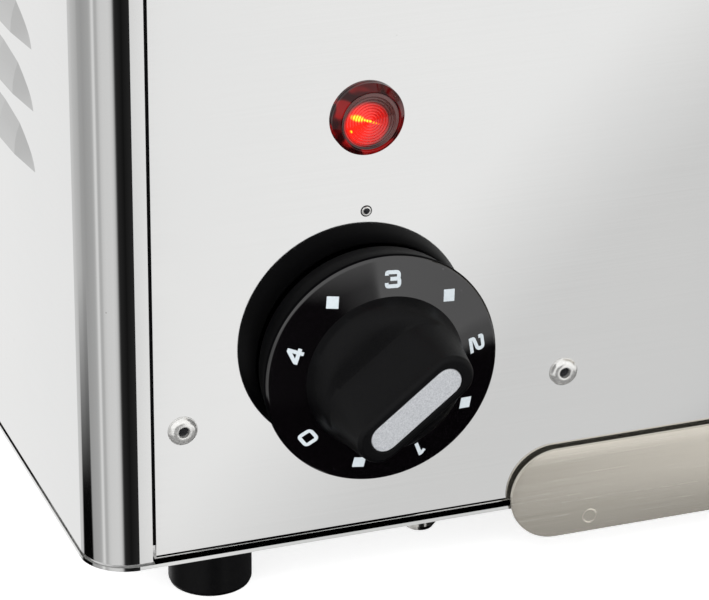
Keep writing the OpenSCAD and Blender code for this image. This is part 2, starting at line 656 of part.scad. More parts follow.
clip_x = cav_x0 + 0.62*(cav_x1 - cav_x0);
clip_t = 1.5;
module element_clips() color("silver") {
    for (y = element_y) difference() {
        slab([clip_x, y - 9, element_z - 8], [clip_x + clip_t, y + element_pitch + 9, cav_z1]);
        for (s = [0, 1]) bar_x([clip_x - 1, y + s*element_pitch, element_z], 4, element_r);
    }
    difference() {
        slab([clip_x, lower_y - 8, lower_z - 9], [clip_x + clip_t, cav_y1, lower_z + element_pitch + 9]);
        for (s = [0, 1]) bar_x([clip_x - 1, lower_y, lower_z + s*element_pitch], 4, element_r);
    }
}

// ---- wiring ----
wire_r = 1.3;
wire_sides = 8;
// Points of one wire, joined by straight runs
function unit(v) = v/norm(v);
function tangent(p, i) = unit(p[min(i + 1, len(p) - 1)] - p[max(i - 1, 0)]);
function side_of(t) = unit(cross(t, abs(t[2]) > 0.9 ? [1, 0, 0] : [0, 0, 1]));
module wire(p, r) {
    n = len(p);
    points = [for (i = [0:n - 1]) let (t = tangent(p, i), u = side_of(t), v = cross(t, u))
              for (k = [0:wire_sides - 1]) p[i] + r*(u*cos(360*k/wire_sides) + v*sin(360*k/wire_sides))];
    faces = concat([[for (k = [0:wire_sides - 1]) k]],
                   [for (i = [0:n - 2], k = [0:wire_sides - 1]) let (j = (k + 1) % wire_sides)
                    [i*wire_sides + k, (i + 1)*wire_sides + k, (i + 1)*wire_sides + j, i*wire_sides + j]],
                   [[for (k = [wire_sides - 1:-1:0]) (n - 1)*wire_sides + k]]);
    polyhedron(points, faces);
}
// A smooth run from a to b that first bulges towards c and then towards d
function run(a, c, d, b, n = 12) = [for (i = [0:n]) let (t = i/n)
    a*pow(1 - t, 3) + 3*c*t*pow(1 - t, 2) + 3*d*t*t*(1 - t) + b*pow(t, 3)];
module wiring_loom() color("peru") {
    top = shelf_z + sheet + 17.5;
    for (i = [-1, 0, 1]) {
        from = [inlet_x + 7*i, back_y - 39, inlet_z + (i == 0 ? 3 : -1)];
        to = [block_x + 15.4 + 9.6*i, block_y + 15.5, top];
        wire(run(from, from - [0, 40, 0], to + [0, 0, 60 + 6*i], to), wire_r);
    }
    for (i = [-1, 1]) {
        from = [knob_x + 11*i, reg_y0 + 43, knob_z + 10];
        to = [block_x + 25 + 9.6*i, block_y + 6.5, top];
        wire(run(from, from + [0, 60, 0], to + [0, -10, 50], to), wire_r);
    }
    for (i = [-1, 1]) {
        from = [pin_x + 3*i, front_y + 32.5, lamp_z];
        to = [knob_x + 11*i - 1.5, reg_y0 + 44, knob_z - 10];
        wire(run(from, from + [0, 20, 0], to + [0, 26, 0], to), wire_r);
    }
    from = [knob_x, front_y + 32.5, switch_z + 8];
    to = [cav_x0 - sheet - gearbox_len - 20, spit_y - 20.5, spit_z];
    wire(run(from, from + [0, 40, 0], to + [-10, -40, 0], to), wire_r);
}

// ---- door ----
glass_x0 = door_x0 + door_rail;
glass_x1 = door_x1 - door_rail;
glass_z0 = door_z0 + door_rail;
glass_z1 = door_z1 - door_rail;
glass_lap = 8;
glass_front = door_front + 6;
rebate = 0.4;                                  // clearance round the glass
module door_frame() color("lightgray") difference() {
    along_y(door_front, door_t) difference() {
        round_rect([door_x0, door_z0], [door_x1, door_z1], 2.5);
        round_rect([glass_x0, glass_z0], [glass_x1, glass_z1], 5);
    }
    slab([glass_x0 - glass_lap - rebate, glass_front, glass_z0 - glass_lap - rebate],
         [glass_x1 + glass_lap + rebate, door_back + 1, glass_z1 + glass_lap + rebate]);
    bar_z([hinge_x, hinge_y, door_z1 - 12], 13, hinge_pin_r + running);
    bar_z([hinge_x, hinge_y, door_z0 - 1], 13, hinge_pin_r + running);
    for (z = handle_post_z) bar_y([handle_x, door_front - 1, z], 11, 3);
}

module door_glass() color([0.6, 0.7, 0.7, 0.4])
    slab([glass_x0 - glass_lap, glass_front, glass_z0 - glass_lap],
         [glass_x1 + glass_lap, glass_front + glass_t, glass_z1 + glass_lap]);

retainer_y = glass_front + glass_t;
module glass_retainer() color("silver") along_y(retainer_y, door_back - retainer_y) difference() {
    translate([glass_x0 - glass_lap, glass_z0 - glass_lap])
        square([glass_x1 - glass_x0 + 2*glass_lap, glass_z1 - glass_z0 + 2*glass_lap]);
    translate([glass_x0 + 1, glass_z0 + 1]) square([glass_x1 - glass_x0 - 2, glass_z1 - glass_z0 - 2]);
}

seal_in = 11;
seal_w = 5;
module door_seal() color("dimgray") along_y(door_back, door_gap - 0.4) difference() {
    round_rect([door_x0 + seal_in, door_z0 + seal_in], [door_x1 - seal_in - 6, door_z1 - seal_in], 8);
    round_rect([door_x0 + seal_in + seal_w, door_z0 + seal_in + seal_w],
               [door_x1 - seal_in - 6 - seal_w, door_z1 - seal_in - seal_w], 3);
}

handle_x = door_x0 + door_rail/2;
handle_y = door_front - finger_gap - handle_r;
handle_mid = (door_z0 + door_z1)/2;
handle_post_z = [handle_mid - handle_len/2 + 18, handle_mid + handle_len/2 - 18];
post_r = 5;
module handle_bar() color("silver") difference() {
    bar_z([handle_x, handle_y, handle_mid - handle_len/2], handle_len, handle_r);
    for (z = handle_post_z) bar_y([handle_x, handle_y, z], finger_gap, post_r);
}
module handle_posts() color("black") for (z = handle_post_z) {
    bar_y([handle_x, handle_y, z], door_front - handle_y, post_r);
    bar_y([handle_x, door_front - eps, z], 8, 3);
}

// Top and bottom brackets: a leaf on the front panel and a shelf that holds the pin
bracket_leaf = 2.5;
bracket_plate = 3;
hinge_clear = 1;
hinge_screw_len = bracket_leaf + sheet + 2;    // ends short of the top's front fold
top_leaf = [door_z1 + hinge_clear, top_z - 2];
low_leaf = [door_z0 - hinge_clear - 16, door_z0 - hinge_clear];
hinge_screw_places = [for (z = [top_leaf[0] + 8.2, low_leaf[0] + 6], x = [hinge_x - 22, hinge_x - 6]) [x, z]];
module hinge_bracket(z_leaf, z_plate) difference() {
    union() {
        slab([hinge_x - 28, front_y - bracket_leaf, z_leaf[0]], [hinge_x + 8, front_y, z_leaf[1]]);
        translate([0, 0, z_plate]) linear_extrude(bracket_plate) {
            translate([hinge_x - 8, hinge_y]) square([16, front_y - hinge_y - eps]);
            translate([hinge_x, hinge_y]) circle(r = 8);
        }
    }
    bar_z([hinge_x, hinge_y, z_plate - 1], bracket_plate + 2, hinge_pin_r);
    for (p = hinge_screw_places) bar_y([p[0], front_y - 5, p[1]], 6, 1.9);
    for (p = hinge_screw_places) translate([p[0], front_y - bracket_leaf, p[1]]) rotate([-90, 0, 0])
        translate([0, 0, -eps]) cylinder(h = 1.7, r1 = 3.6, r2 = 1.9);
}
module hinge_brackets() color("silver") {
    hinge_bracket(top_leaf, door_z1 + hinge_clear);
    hinge_bracket(low_leaf, door_z0 - hinge_clear - bracket_plate);
}
module hinge_pins() color("silver") {
    bar_z([hinge_x, hinge_y, door_z1 - 10], 10 + hinge_clear + bracket_plate + 0.8, hinge_pin_r);
    bar_z([hinge_x, hinge_y, door_z0 - hinge_clear - bracket_plate - 0.8],
          10 + hinge_clear + bracket_plate + 0.8, hinge_pin_r);
}
module hinge_screws() color("silver") for (p = hinge_screw_places)
    translate([p[0], front_y - bracket_leaf, p[1]]) rotate([-90, 0, 0])
        rotate_extrude() polygon([[0, 0.5], [1, 0], [3.58, 0], [1.88, 1.7], [1.88, hinge_screw_len],
                                  [0, hinge_screw_len]]);

module catch_magnet() color("dimgray")
    slab([door_x0 + 3, front_y - door_gap + 0.5, handle_mid - 20], [door_x0 + 9.5, front_y, handle_mid + 20]);

// ---- drip tray ----
module tray_pan() color("lightgray") difference() {
    slab([pan_x0, pan_y0, pan_z0], [pan_x1, pan_y1, pan_z1]);
    slab([pan_x0 + pan_t, pan_y0 + pan_t, pan_z0 + pan_t], [pan_x1 - pan_t, pan_y1 - pan_t, pan_z1 + 1]);
}

weld_x = 21.5;                                // spot weld to the plate's end
weld_lift = 4.2;
module tray_front_plate() color("lightgray") difference() {
    along_y(pan_y0 - plate_t, plate_t) translate([(plate_x0 + plate_x1)/2, plate_lift + plate_h/2])
        stadium(plate_x1 - plate_x0, plate_h);
    for (x = [plate_x0 + weld_x, plate_x1 - weld_x])
        out_front(x, plate_lift + weld_lift) translate([0, 0, front_y - pan_y0 + plate_t - 0.2]) difference() {
            cylinder(h = 1, r = 2.1);
            translate([0, 0, -1]) cylinder(h = 3, r = 1.5);
        }
}

// ---- spit ----
socket_r = 12;
square_clear = 0.2;
module drive_socket() color("silver") difference() {
    union() {
        bar_x([socket_x0, spit_y, spit_z], socket_len, socket_r);
        bar_x([cav_x0 - sheet - 28, spit_y, spit_z], socket_x0 - cav_x0 + sheet + 28 + eps, shaft_r);
    }
    slab([socket_x0 + 5, spit_y - spit_a/2 - square_clear, spit_z - spit_a/2 - square_clear],
         [socket_x0 + socket_len + 1, spit_y + spit_a/2 + square_clear, spit_z + spit_a/2 + square_clear]);
}

module spit_rod() color("silver") {
    slab([socket_x0 + 6, spit_y - spit_a/2, spit_z - spit_a/2],
         [rest_x - 8, spit_y + spit_a/2, spit_z + spit_a/2]);
    bar_x([rest_x - 8 - eps, spit_y, spit_z], 6, 7.5);
    bar_x([rest_x - 3, spit_y, spit_z], rest_t + 6, journal_r);
    bar_x([rest_x + rest_t + 2.4, spit_y, spit_z], 5, 7.5);
}

// A cradle on the right wall, open towards the top
module spit_rest() color("silver") difference() {
    union() {
        slab([rest_x, spit_y - 16, spit_z - 34], [rest_x + rest_t, spit_y + 16, spit_z + 7]);
        slab([rest_x, spit_y - 16, spit_z - 36], [cav_x1, spit_y + 16, spit_z - 33]);
        slab([cav_x1 - 2, spit_y - 22, spit_z - 36], [cav_x1, spit_y + 22, spit_z - 14]);
    }
    bar_x([rest_x - 1, spit_y, spit_z], rest_t + 2, journal_r + 0.25);
    slab([rest_x - 1, spit_y - journal_r - 0.25, spit_z],
         [rest_x + rest_t + 1, spit_y + journal_r + 0.25, spit_z + 20]);
    for (s = [-1, 1]) bar_x([cav_x1 - 4, spit_y + 14*s, spit_z - 22], 6, 2.1);
}

fork_x = [cav_x0 + 86, cav_x1 - 96];            // outer face of each fork's hub
hub_half = 11;
hub_len = 16;
tine_r = 2;
tine_out = [34, 20];                            // reach of the long and the short pair of tines
screw_bore = 2.6;
// A fork whose tines point along +X, drawn about the spit's axis
module fork() difference() {
    union() {
        translate([0, -hub_half, -hub_half]) cube([hub_len, 2*hub_half, 2*hub_half]);
        for (s = [-1, 1]) {
            bar_y([hub_len/2, s > 0 ? hub_half - 1 : -tine_out[0], 0], tine_out[0] - hub_half + 1, tine_r);
            translate([hub_len/2, s*tine_out[0], 0]) sphere(r = tine_r);
            bar_x([hub_len/2, s*tine_out[0], 0], tine_len, tine_r);
            translate([hub_len/2 + tine_len - eps, s*tine_out[0], 0]) rotate([0, 90, 0])
                cylinder(h = 10, r1 = tine_r, r2 = 0.3);
            bar_z([hub_len/2 + 0.8, s*7, -tine_out[1] - 4], 14, tine_r);
            translate([hub_len/2 + 0.8, s*7, -tine_out[1] - 4]) sphere(r = tine_r);
            bar_x([hub_len/2 + 0.8, s*7, -tine_out[1] - 4], tine_len - 12, tine_r);
            translate([hub_len/2 + 0.8 + tine_len - 12 - eps, s*7, -tine_out[1] - 4]) rotate([0, 90, 0])
                cylinder(h = 10, r1 = tine_r, r2 = 0.3);
        }
    }
    translate([-1, -spit_a/2 - square_clear, -spit_a/2 - square_clear])
        cube([hub_len + 2, spit_a + 2*square_clear, spit_a + 2*square_clear]);
    translate([hub_len/2, 0, 0]) cylinder(h = hub_half + 1, r = screw_bore + running);
}
module at_fork(i) translate([fork_x[i], spit_y, spit_z]) mirror([i, 0, 0]) children();
module fork_left() color("silver") at_fork(0) fork();
module fork_right() color("silver") at_fork(1) fork();

// A thumbscrew through the hub that presses on the spit
module thumbscrew() translate([hub_len/2, 0, 0]) {
    translate([0, 0, spit_a/2 + 0.3]) cylinder(h = hub_half + 4, r = screw_bore);
    translate([0, 0, hub_half + 3]) cylinder(h = 3, r = 5);
    translate([-1.5, -8, hub_half + 5]) cube([3, 16, 9]);
}
module fork_screw_left() color("silver") at_fork(0) thumbscrew();
module fork_screw_right() color("silver") at_fork(1) thumbscrew();

base_plate();
left_side_panel();
right_side_panel();
top_panel();
back_panel();
front_panel();
control_shelf();
control_bracket();
liner_left_wall();
liner_right_wall();
liner_back_wall();
liner_roof();
tray_rails();
rubber_feet();
foot_screws();
base_screws();
front_rivets();
shell_screws();
inner_screws();
index_pin();
pilot_lens();
pilot_body();
regulator_body();
switch_frame();
terminal_block();
inlet_socket();
inlet_pins();
motor_gearbox();
motor_can();
upper_element_front();
upper_element_rear();
lower_element();
element_insulators();
element_clips();
thermal_cutout();
wiring_loom();
spit_rest();
hinge_brackets();
hinge_pins();
hinge_screws();
catch_magnet();
door_frame();
door_glass();
glass_retainer();
door_seal();
handle_bar();
handle_posts();
tray_pan();
tray_front_plate();
knob_skirt();
knob_grip();
knob_inlay();
regulator_spindle();
switch_rocker();
drive_socket();
spit_rod();
fork_left();
fork_right();
fork_screw_left();
fork_screw_right();
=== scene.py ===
"""A bench-top rotisserie oven in bright stainless steel, close on its lower left front corner."""
import json
import math

import bpy
from mathutils import Matrix, Vector


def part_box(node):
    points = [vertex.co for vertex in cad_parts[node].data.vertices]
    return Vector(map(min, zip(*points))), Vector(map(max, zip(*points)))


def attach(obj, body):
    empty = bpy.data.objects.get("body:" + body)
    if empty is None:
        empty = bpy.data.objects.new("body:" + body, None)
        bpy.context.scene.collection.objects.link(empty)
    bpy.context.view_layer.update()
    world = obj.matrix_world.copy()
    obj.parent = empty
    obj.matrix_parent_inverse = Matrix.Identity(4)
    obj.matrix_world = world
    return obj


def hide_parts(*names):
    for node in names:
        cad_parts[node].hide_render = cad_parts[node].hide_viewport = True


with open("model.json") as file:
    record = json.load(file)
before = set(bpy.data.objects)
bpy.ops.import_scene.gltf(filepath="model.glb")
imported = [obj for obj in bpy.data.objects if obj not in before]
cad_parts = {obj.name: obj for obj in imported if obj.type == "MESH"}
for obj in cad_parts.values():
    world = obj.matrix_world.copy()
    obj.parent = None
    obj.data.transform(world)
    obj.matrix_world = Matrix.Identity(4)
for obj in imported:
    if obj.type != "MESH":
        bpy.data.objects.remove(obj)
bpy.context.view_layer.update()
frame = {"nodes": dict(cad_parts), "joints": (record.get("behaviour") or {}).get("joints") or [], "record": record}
scene = bpy.context.scene

MM = 0.001                  # a millimetre in metres


# ---- places read from the frame ----
def joint(name):
    """The frame's row for a joint."""
    return next(j for j in frame["joints"] if j["name"] == name)


def middle(node_name):
    """The middle of a node's box."""
    low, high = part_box(node_name)
    return (Vector(low) + Vector(high)) / 2


KNOB = Vector(joint("knob_turn")["pos_m"])          # where the knob's axis meets the front panel
FRONT = KNOB.y                                      # the front panel's face
LAMP = Vector((middle("pilot_lens").x, FRONT, middle("pilot_lens").z))
PIN = Vector((middle("index_pin").x, FRONT, middle("index_pin").z))
PLATE_LOW, PLATE_HIGH = (Vector(c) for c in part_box("tray_front_plate"))
SKIRT_LOW, SKIRT_HIGH = (Vector(c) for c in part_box("knob_skirt"))
GRIP_LOW, GRIP_HIGH = (Vector(c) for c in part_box("knob_grip"))
LENS_LOW, LENS_HIGH = (Vector(c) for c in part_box("pilot_lens"))
RIM_R = (SKIRT_HIGH.x - SKIRT_LOW.x) / 2 / MM       # millimetres, like every size in a piece's profile
HUB_R = (GRIP_HIGH.x - GRIP_LOW.x) / 2 / MM
FACE = (FRONT - SKIRT_LOW.y) / MM                   # reach of the dial's face at the grip
GRIP_TOP = (FRONT - GRIP_LOW.y) / MM
LENS_R = (LENS_HIGH.x - LENS_LOW.x) / 2 / MM


# ---- materials ----
def linear(code):
    """The linear colour of an sRGB hex value, with alpha 1."""
    parts = [int(code[i:i + 2], 16) / 255 for i in (0, 2, 4)]
    return [c / 12.92 if c <= 0.04045 else ((c + 0.055) / 1.055) ** 2.4 for c in parts] + [1.0]


def add(tree, kind, sockets=None, links=None, **settings):
    """Adds a node: settings are its properties, sockets its constant inputs, links its linked inputs."""
    made = tree.nodes.new(kind)
    for name, value in settings.items():
        setattr(made, name, value)
    for key, value in (sockets or {}).items():
        made.inputs[key].default_value = value
    for key, source in (links or {}).items():
        tree.links.new(source, made.inputs[key])
    return made


def new_material(name, colour, **sockets):
    """A material with one Principled shader; returns it with its tree and shader."""
    made = bpy.data.materials.new(name)
    made.use_nodes = True
    tree = made.node_tree
    shader = tree.nodes["Principled BSDF"]
    shader.inputs["Base Color"].default_value = linear(colour)
    for key, value in sockets.items():
        shader.inputs[key.replace("_", " ").title().replace("Ior", "IOR")].default_value = value
    return made, tree, shader


def pattern(tree, size_mm, detail=2.0, roughness=0.5, distortion=0.0):
    """Noise whose grains measure size_mm along X, Y and Z; returns its value socket."""
    place = add(tree, "ShaderNodeTexCoord")
    scaled = add(tree, "ShaderNodeMapping", {"Scale": [1 / (s * MM) for s in size_mm]},
                 {"Vector": place.outputs["Object"]})
    return add(tree, "ShaderNodeTexNoise",
               {"Scale": 1.0, "Detail": detail, "Roughness": roughness, "Distortion": distortion},
               {"Vector": scaled.outputs[0]}).outputs[0]


def ramp(tree, source, stops):
    """A colour ramp over a value; stops are (place, hex or number)."""
    made = add(tree, "ShaderNodeValToRGB", links={"Fac": source})
    band = made.color_ramp
    band.interpolation = "LINEAR"
    while len(band.elements) < len(stops):
        band.elements.new(1.0)
    for element, (place, value) in zip(band.elements, stops):
        element.position = place
        element.color = linear(value) if isinstance(value, str) else [value, value, value, 1.0]
    return made.outputs["Color"]


def spread(tree, source, low, high, start=0.3, end=0.7):
    """Maps a value from start..end to low..high."""
    ends = {"From Min": start, "From Max": end, "To Min": low, "To Max": high}
    return add(tree, "ShaderNodeMapRange", ends, {"Value": source}).outputs[0]


def blend_colours(tree, factor, first, second, mode="MIX"):
    """Mixes two colours; each is a hex value or a socket."""
    made = add(tree, "ShaderNodeMix", data_type="RGBA", blend_type=mode)
    if isinstance(factor, float):
        made.inputs[0].default_value = factor
    else:
        tree.links.new(factor, made.inputs[0])
    for socket, value in ((made.inputs[6], first), (made.inputs[7], second)):
        if isinstance(value, str):
            socket.default_value = linear(value)
        else:
            tree.links.new(value, socket)
    return made.outputs[2]


def relief(tree, shader, height, depth_mm, under=None):
    """Bumps the surface by height times depth_mm."""
    links = {"Height": height}
    if under:
        links["Normal"] = under
    made = add(tree, "ShaderNodeBump", {"Strength": 1.0, "Distance": depth_mm * MM}, links)
    tree.links.new(made.outputs[0], shader.inputs["Normal"])
    return made.outputs[0]


def specks(tree, spacing_mm, radius):
    """Sparse small dots, 1 inside a dot and 0 elsewhere."""
    place = add(tree, "ShaderNodeTexCoord")
    scaled = add(tree, "ShaderNodeMapping", {"Scale": [1 / (spacing_mm * MM)] * 3},
                 {"Vector": place.outputs["Object"]})
    cells = add(tree, "ShaderNodeTexVoronoi", {"Scale": 1.0, "Randomness": 1.0},
                {"Vector": scaled.outputs[0]})
    return spread(tree, cells.outputs["Distance"], 1.0, 0.0, radius * 0.6, radius)


def along(axis, length, width):
    """The size of a grain that runs along an axis."""
    return tuple(length if axis == name else width for name in "xyz")


def bright_annealed_steel(axis):
    """Bright annealed stainless: almost a mirror, with a faint rolling grain and a few specks."""
    made, tree, shader = new_material("bright_annealed_steel_" + axis, "e6e6e5", metallic=1.0, roughness=0.04)
    grain = pattern(tree, along(axis, 60, 0.35), 3.0)
    cloud = pattern(tree, (45, 45, 45), 3.0, 0.6)
    tone = blend_colours(tree, spread(tree, grain, 0.0, 1.0), "e6e6e5", "e8e8e7")
    tone = blend_colours(tree, spread(tree, cloud, 0.0, 0.3, 0.35, 0.75), tone, "e1e2e2")
    tone = blend_colours(tree, calc(tree, "MULTIPLY", specks(tree, 14, 0.02), 0.6), tone, "a8a6a2")
    tree.links.new(tone, shader.inputs["Base Color"])
    tree.links.new(spread(tree, grain, 0.03, 0.055), shader.inputs["Roughness"])
    wave = relief(tree, shader, pattern(tree, (70, 70, 70), 1.0), 0.02)
    relief(tree, shader, grain, 0.00006, under=wave)
    return made


def brushed_steel(axis):
    """Stainless brushed with a belt: long fine scratches that spread the highlights across them."""
    made, tree, shader = new_material("belt_brushed_steel_" + axis, "d3cec3", metallic=0.75, roughness=0.2)
    lines = pattern(tree, along(axis, 40, 0.16), 4.0, 0.7)
    broad = pattern(tree, along(axis, 60, 5), 2.0)
    tone = blend_colours(tree, spread(tree, lines, 0.0, 1.0), "c4beb2", "d3cec3")
    tone = blend_colours(tree, spread(tree, broad, 0.0, 0.15), tone, "d8d3ca")
    tree.links.new(tone, shader.inputs["Base Color"])
    tree.links.new(spread(tree, lines, 0.18, 0.28), shader.inputs["Roughness"])
    relief(tree, shader, lines, 0.002)
    return made


def mill_steel():
    """Aluminised sheet straight from the mill: grey, with soft cloudy crystals."""
    made, tree, shader = new_material("aluminised_sheet", "b4b5b4", metallic=1.0, roughness=0.34)
    cloud = pattern(tree, (7, 7, 7), 4.0, 0.65, 0.6)
    tone = blend_colours(tree, spread(tree, cloud, 0.0, 1.0), "9d9f9f", "c3c4c3")
    tree.links.new(tone, shader.inputs["Base Color"])
    tree.links.new(spread(tree, cloud, 0.26, 0.44), shader.inputs["Roughness"])
    relief(tree, shader, pattern(tree, (1.2, 1.2, 1.2), 3.0), 0.01)
    return made


def plated_steel():
    """Bright nickel plate on steel: clean reflections with the odd soft scratch."""
    made, tree, shader = new_material("bright_nickel_plate", "dcdad6", metallic=1.0, roughness=0.14)
    marks = pattern(tree, (0.5, 0.5, 3), 3.0, 0.6)
    tree.links.new(spread(tree, marks, 0.08, 0.22), shader.inputs["Roughness"])
    tree.links.new(blend_colours(tree, spread(tree, marks, 0.0, 1.0), "cfccc7", "e4e2de"),
                   shader.inputs["Base Color"])
    relief(tree, shader, marks, 0.003)
    return made


def rivet_steel():
    """The pale, slightly dull steel of a set rivet's head, with fine marks from the setting tool."""
    made, tree, shader = new_material("set_rivet_steel", "e8e8e6", metallic=0.8, roughness=0.2)
    marks = pattern(tree, (0.4, 0.4, 0.4), 3.0, 0.6)
    tree.links.new(spread(tree, marks, 0.12, 0.28), shader.inputs["Roughness"])
    tree.links.new(blend_colours(tree, spread(tree, marks, 0.0, 1.0), "dcdbd8", "f0f0ee"),
                   shader.inputs["Base Color"])
    relief(tree, shader, marks, 0.003)
    return made


def chrome_plate():
    """Chromed steel rod: a mirror with drawn lines along the rod."""
    made, tree, shader = new_material("chromed_rod", "e0e1e3", metallic=1.0, roughness=0.08)
    lines = pattern(tree, (50, 0.3, 0.3), 3.0)
    tree.links.new(spread(tree, lines, 0.05, 0.16), shader.inputs["Roughness"])
    tree.links.new(blend_colours(tree, spread(tree, lines, 0.0, 1.0), "d2d3d6", "e8e9ea"),
                   shader.inputs["Base Color"])
    relief(tree, shader, lines, 0.002)
    return made


def heater_sheath():
    """Oxidised alloy tube: dark greyish brown scale, duller where it has been hot."""
    made, tree, shader = new_material("oxidised_alloy_tube", "45403b", metallic=0.75, roughness=0.5)
    scale = pattern(tree, (14, 3, 3), 4.0, 0.6)
    tree.links.new(blend_colours(tree, spread(tree, scale, 0.0, 1.0), "332f2c", "615950"),
                   shader.inputs["Base Color"])
    tree.links.new(spread(tree, scale, 0.4, 0.65), shader.inputs["Roughness"])
    relief(tree, shader, pattern(tree, (0.6, 0.6, 0.6), 3.0), 0.02)
    return made


def moulded(name, colour, light, grain_mm, depth_mm, low, high, **sockets):
    """A moulded plastic, rubber or ceramic: a fine grain in colour, gloss and relief."""
    made, tree, shader = new_material(name, colour, **sockets)
    grain = pattern(tree, (grain_mm,) * 3, 3.0, 0.6)
    broad = pattern(tree, (grain_mm * 18,) * 3, 2.0)
    tone = blend_colours(tree, spread(tree, grain, 0.0, 1.0), colour, light)
    tone = blend_colours(tree, spread(tree, broad, 0.0, 0.3), tone, colour)
    tree.links.new(tone, shader.inputs["Base Color"])
    tree.links.new(spread(tree, grain, low, high), shader.inputs["Roughness"])
    relief(tree, shader, grain, depth_mm)
    return made


def phenolic_grip():
    """Thermoset moulding with a spark-eroded grain: deep black that scatters its highlights."""
    return moulded("grained_phenolic", "020203", "070708", 0.35, 0.05, 0.38, 0.52, specular_ior_level=0.14)


def glossy_dial():
    """Polished thermoset face of the dial, nearly free of grain, with a few hairline scratches."""
    made, tree, shader = new_material("polished_phenolic", "040304", roughness=0.05, ior=1.8)
    haze = pattern(tree, (12, 12, 12), 3.0, 0.7)
    tree.links.new(spread(tree, haze, 0.03, 0.08), shader.inputs["Roughness"])
    tree.links.new(blend_colours(tree, specks(tree, 4.5, 0.05), "040304", "3a3a3c"),
                   shader.inputs["Base Color"])
    relief(tree, shader, pattern(tree, (0.7, 0.7, 0.7), 2.0), 0.0012)
    return made


def dull_phenolic():
    """The dial's side wall: the same black thermoset as it leaves the mould, nearly without gloss."""
    return moulded("dull_phenolic", "010102", "040405", 0.25, 0.01, 0.35, 0.5, specular_ior_level=0.02)


def pad_print():
    """White pad-printing ink: flat white, a little thin at its edges."""
    return moulded("white_pad_print", "a3abb0", "b2b9bd", 0.4, 0.004, 0.4, 0.55)


def satin_foil():
    """Silver foil with a fine sparkle, under a satin lacquer."""
    made, tree, shader = new_material("silver_sparkle_foil", "c3c5c9", metallic=0.65, roughness=0.42)
    flakes = pattern(tree, (0.28, 0.28, 0.28), 2.0, 0.8)
    tree.links.new(blend_colours(tree, spread(tree, flakes, 0.0, 1.0), "adb0b5", "d9dbde"),
                   shader.inputs["Base Color"])
    tree.links.new(spread(tree, flakes, 0.34, 0.55), shader.inputs["Roughness"])
    relief(tree, shader, flakes, 0.01)
    return made


def from_lamp(tree):
    """Right and up distances from the pilot lamp's axis, in millimetres."""
    place = add(tree, "ShaderNodeTexCoord")
    moved = add(tree, "ShaderNodeMapping",
                {"Location": [-LAMP.x / MM, 0, -LAMP.z / MM], "Scale": [1 / MM] * 3},
                {"Vector": place.outputs["Object"]})
    return add(tree, "ShaderNodeSeparateXYZ", links={"Vector": moved.outputs[0]})


def calc(tree, operation, first, second=0.0):
    """One sum on one or two values; each is a number or a socket."""
    made = add(tree, "ShaderNodeMath", operation=operation)
    for socket, value in zip(made.inputs, (first, second)):
        if isinstance(value, (int, float)):
            socket.default_value = value
        else:
            tree.links.new(value, socket)
    return made.outputs[0]


def mixed(tree, first, share, second, other_share):
    """The sum of two values, each times its share."""
    return calc(tree, "ADD", calc(tree, "MULTIPLY", first, share),
                calc(tree, "MULTIPLY", second, other_share))


def distance_to(tree, right, up, x, z, wide=1.0, high=1.0, turn=0.0):
    """Distance from the point (x, z), with the two directions turned and stretched."""
    dx, dz = calc(tree, "SUBTRACT", right, x), calc(tree, "SUBTRACT", up, z)
    c, s = math.cos(math.radians(turn)), math.sin(math.radians(turn))
    first = mixed(tree, dx, c / wide, dz, s / wide)
    second = mixed(tree, dz, c / high, dx, -s / high)
    square = calc(tree, "ADD", calc(tree, "MULTIPLY", first, first), calc(tree, "MULTIPLY", second, second))
    return calc(tree, "SQRT", square)


RING_PITCH = 0.72           # between two rings of the pilot lens


def red_lens():
    """Red polycarbonate over a neon lamp: dark at the rim, with lit rings and a yellow filament's image."""
    made, tree, shader = new_material("red_polycarbonate_lit", "7d0a08", roughness=0.06, coat_weight=0.6,
                                      coat_roughness=0.03)
    spot = from_lamp(tree)
    right, up = spot.outputs["X"], spot.outputs["Z"]
    radius = distance_to(tree, right, up, 0, 0)
    glow = spread(tree, distance_to(tree, right, up, -1.0, -0.6), 1.0, 0.0, 5.0, 5.9)
    heart = spread(tree, distance_to(tree, right, up, -3.2, -0.6), 1.0, 0.0, 1.0, 6.4)
    rings = calc(tree, "SINE", calc(tree, "MULTIPLY", radius, 2 * math.pi / RING_PITCH))
    ringed = spread(tree, rings, 0.45, 1.0, -1.0, 1.0)
    bulk = spread(tree, distance_to(tree, right, up, -3.3, 1.2, 2.3, 1.0, -20), 1.0, 0.0, 0.5, 1.0)
    tail = spread(tree, distance_to(tree, right, up, -0.2, 0.0, 3.4, 0.4, -22), 1.0, 0.0, 0.5, 1.0)
    filament = calc(tree, "MAXIMUM", bulk, tail)
    spark = spread(tree, distance_to(tree, right, up, -4.9, -2.1, 0.35, 0.6, 0), 1.0, 0.0, 0.4, 1.0)
    yellow = calc(tree, "MULTIPLY", calc(tree, "MAXIMUM", filament, spark),
                  spread(tree, rings, 0.15, 1.0, -0.6, 0.6))
    red = blend_colours(tree, heart, "a8201a", "ff2412")
    tree.links.new(blend_colours(tree, yellow, red, "ffc21a"), shader.inputs["Emission Color"])
    strength = calc(tree, "MULTIPLY", calc(tree, "MULTIPLY", glow, ringed), calc(tree, "ADD", heart, 0.35))
    tree.links.new(calc(tree, "ADD", strength, calc(tree, "MULTIPLY", yellow, 1.1)),
                   shader.inputs["Emission Strength"])
    dull = spread(tree, mixed(tree, right, 0.6, up, 0.8), 0.0, 1.0, -4.5, -2.0)
    ground = blend_colours(tree, dull, "240708", "442422")
    tree.links.new(blend_colours(tree, glow, ground, "a0100c"), shader.inputs["Base Color"])
    relief(tree, shader, ringed, 0.05)
    return made


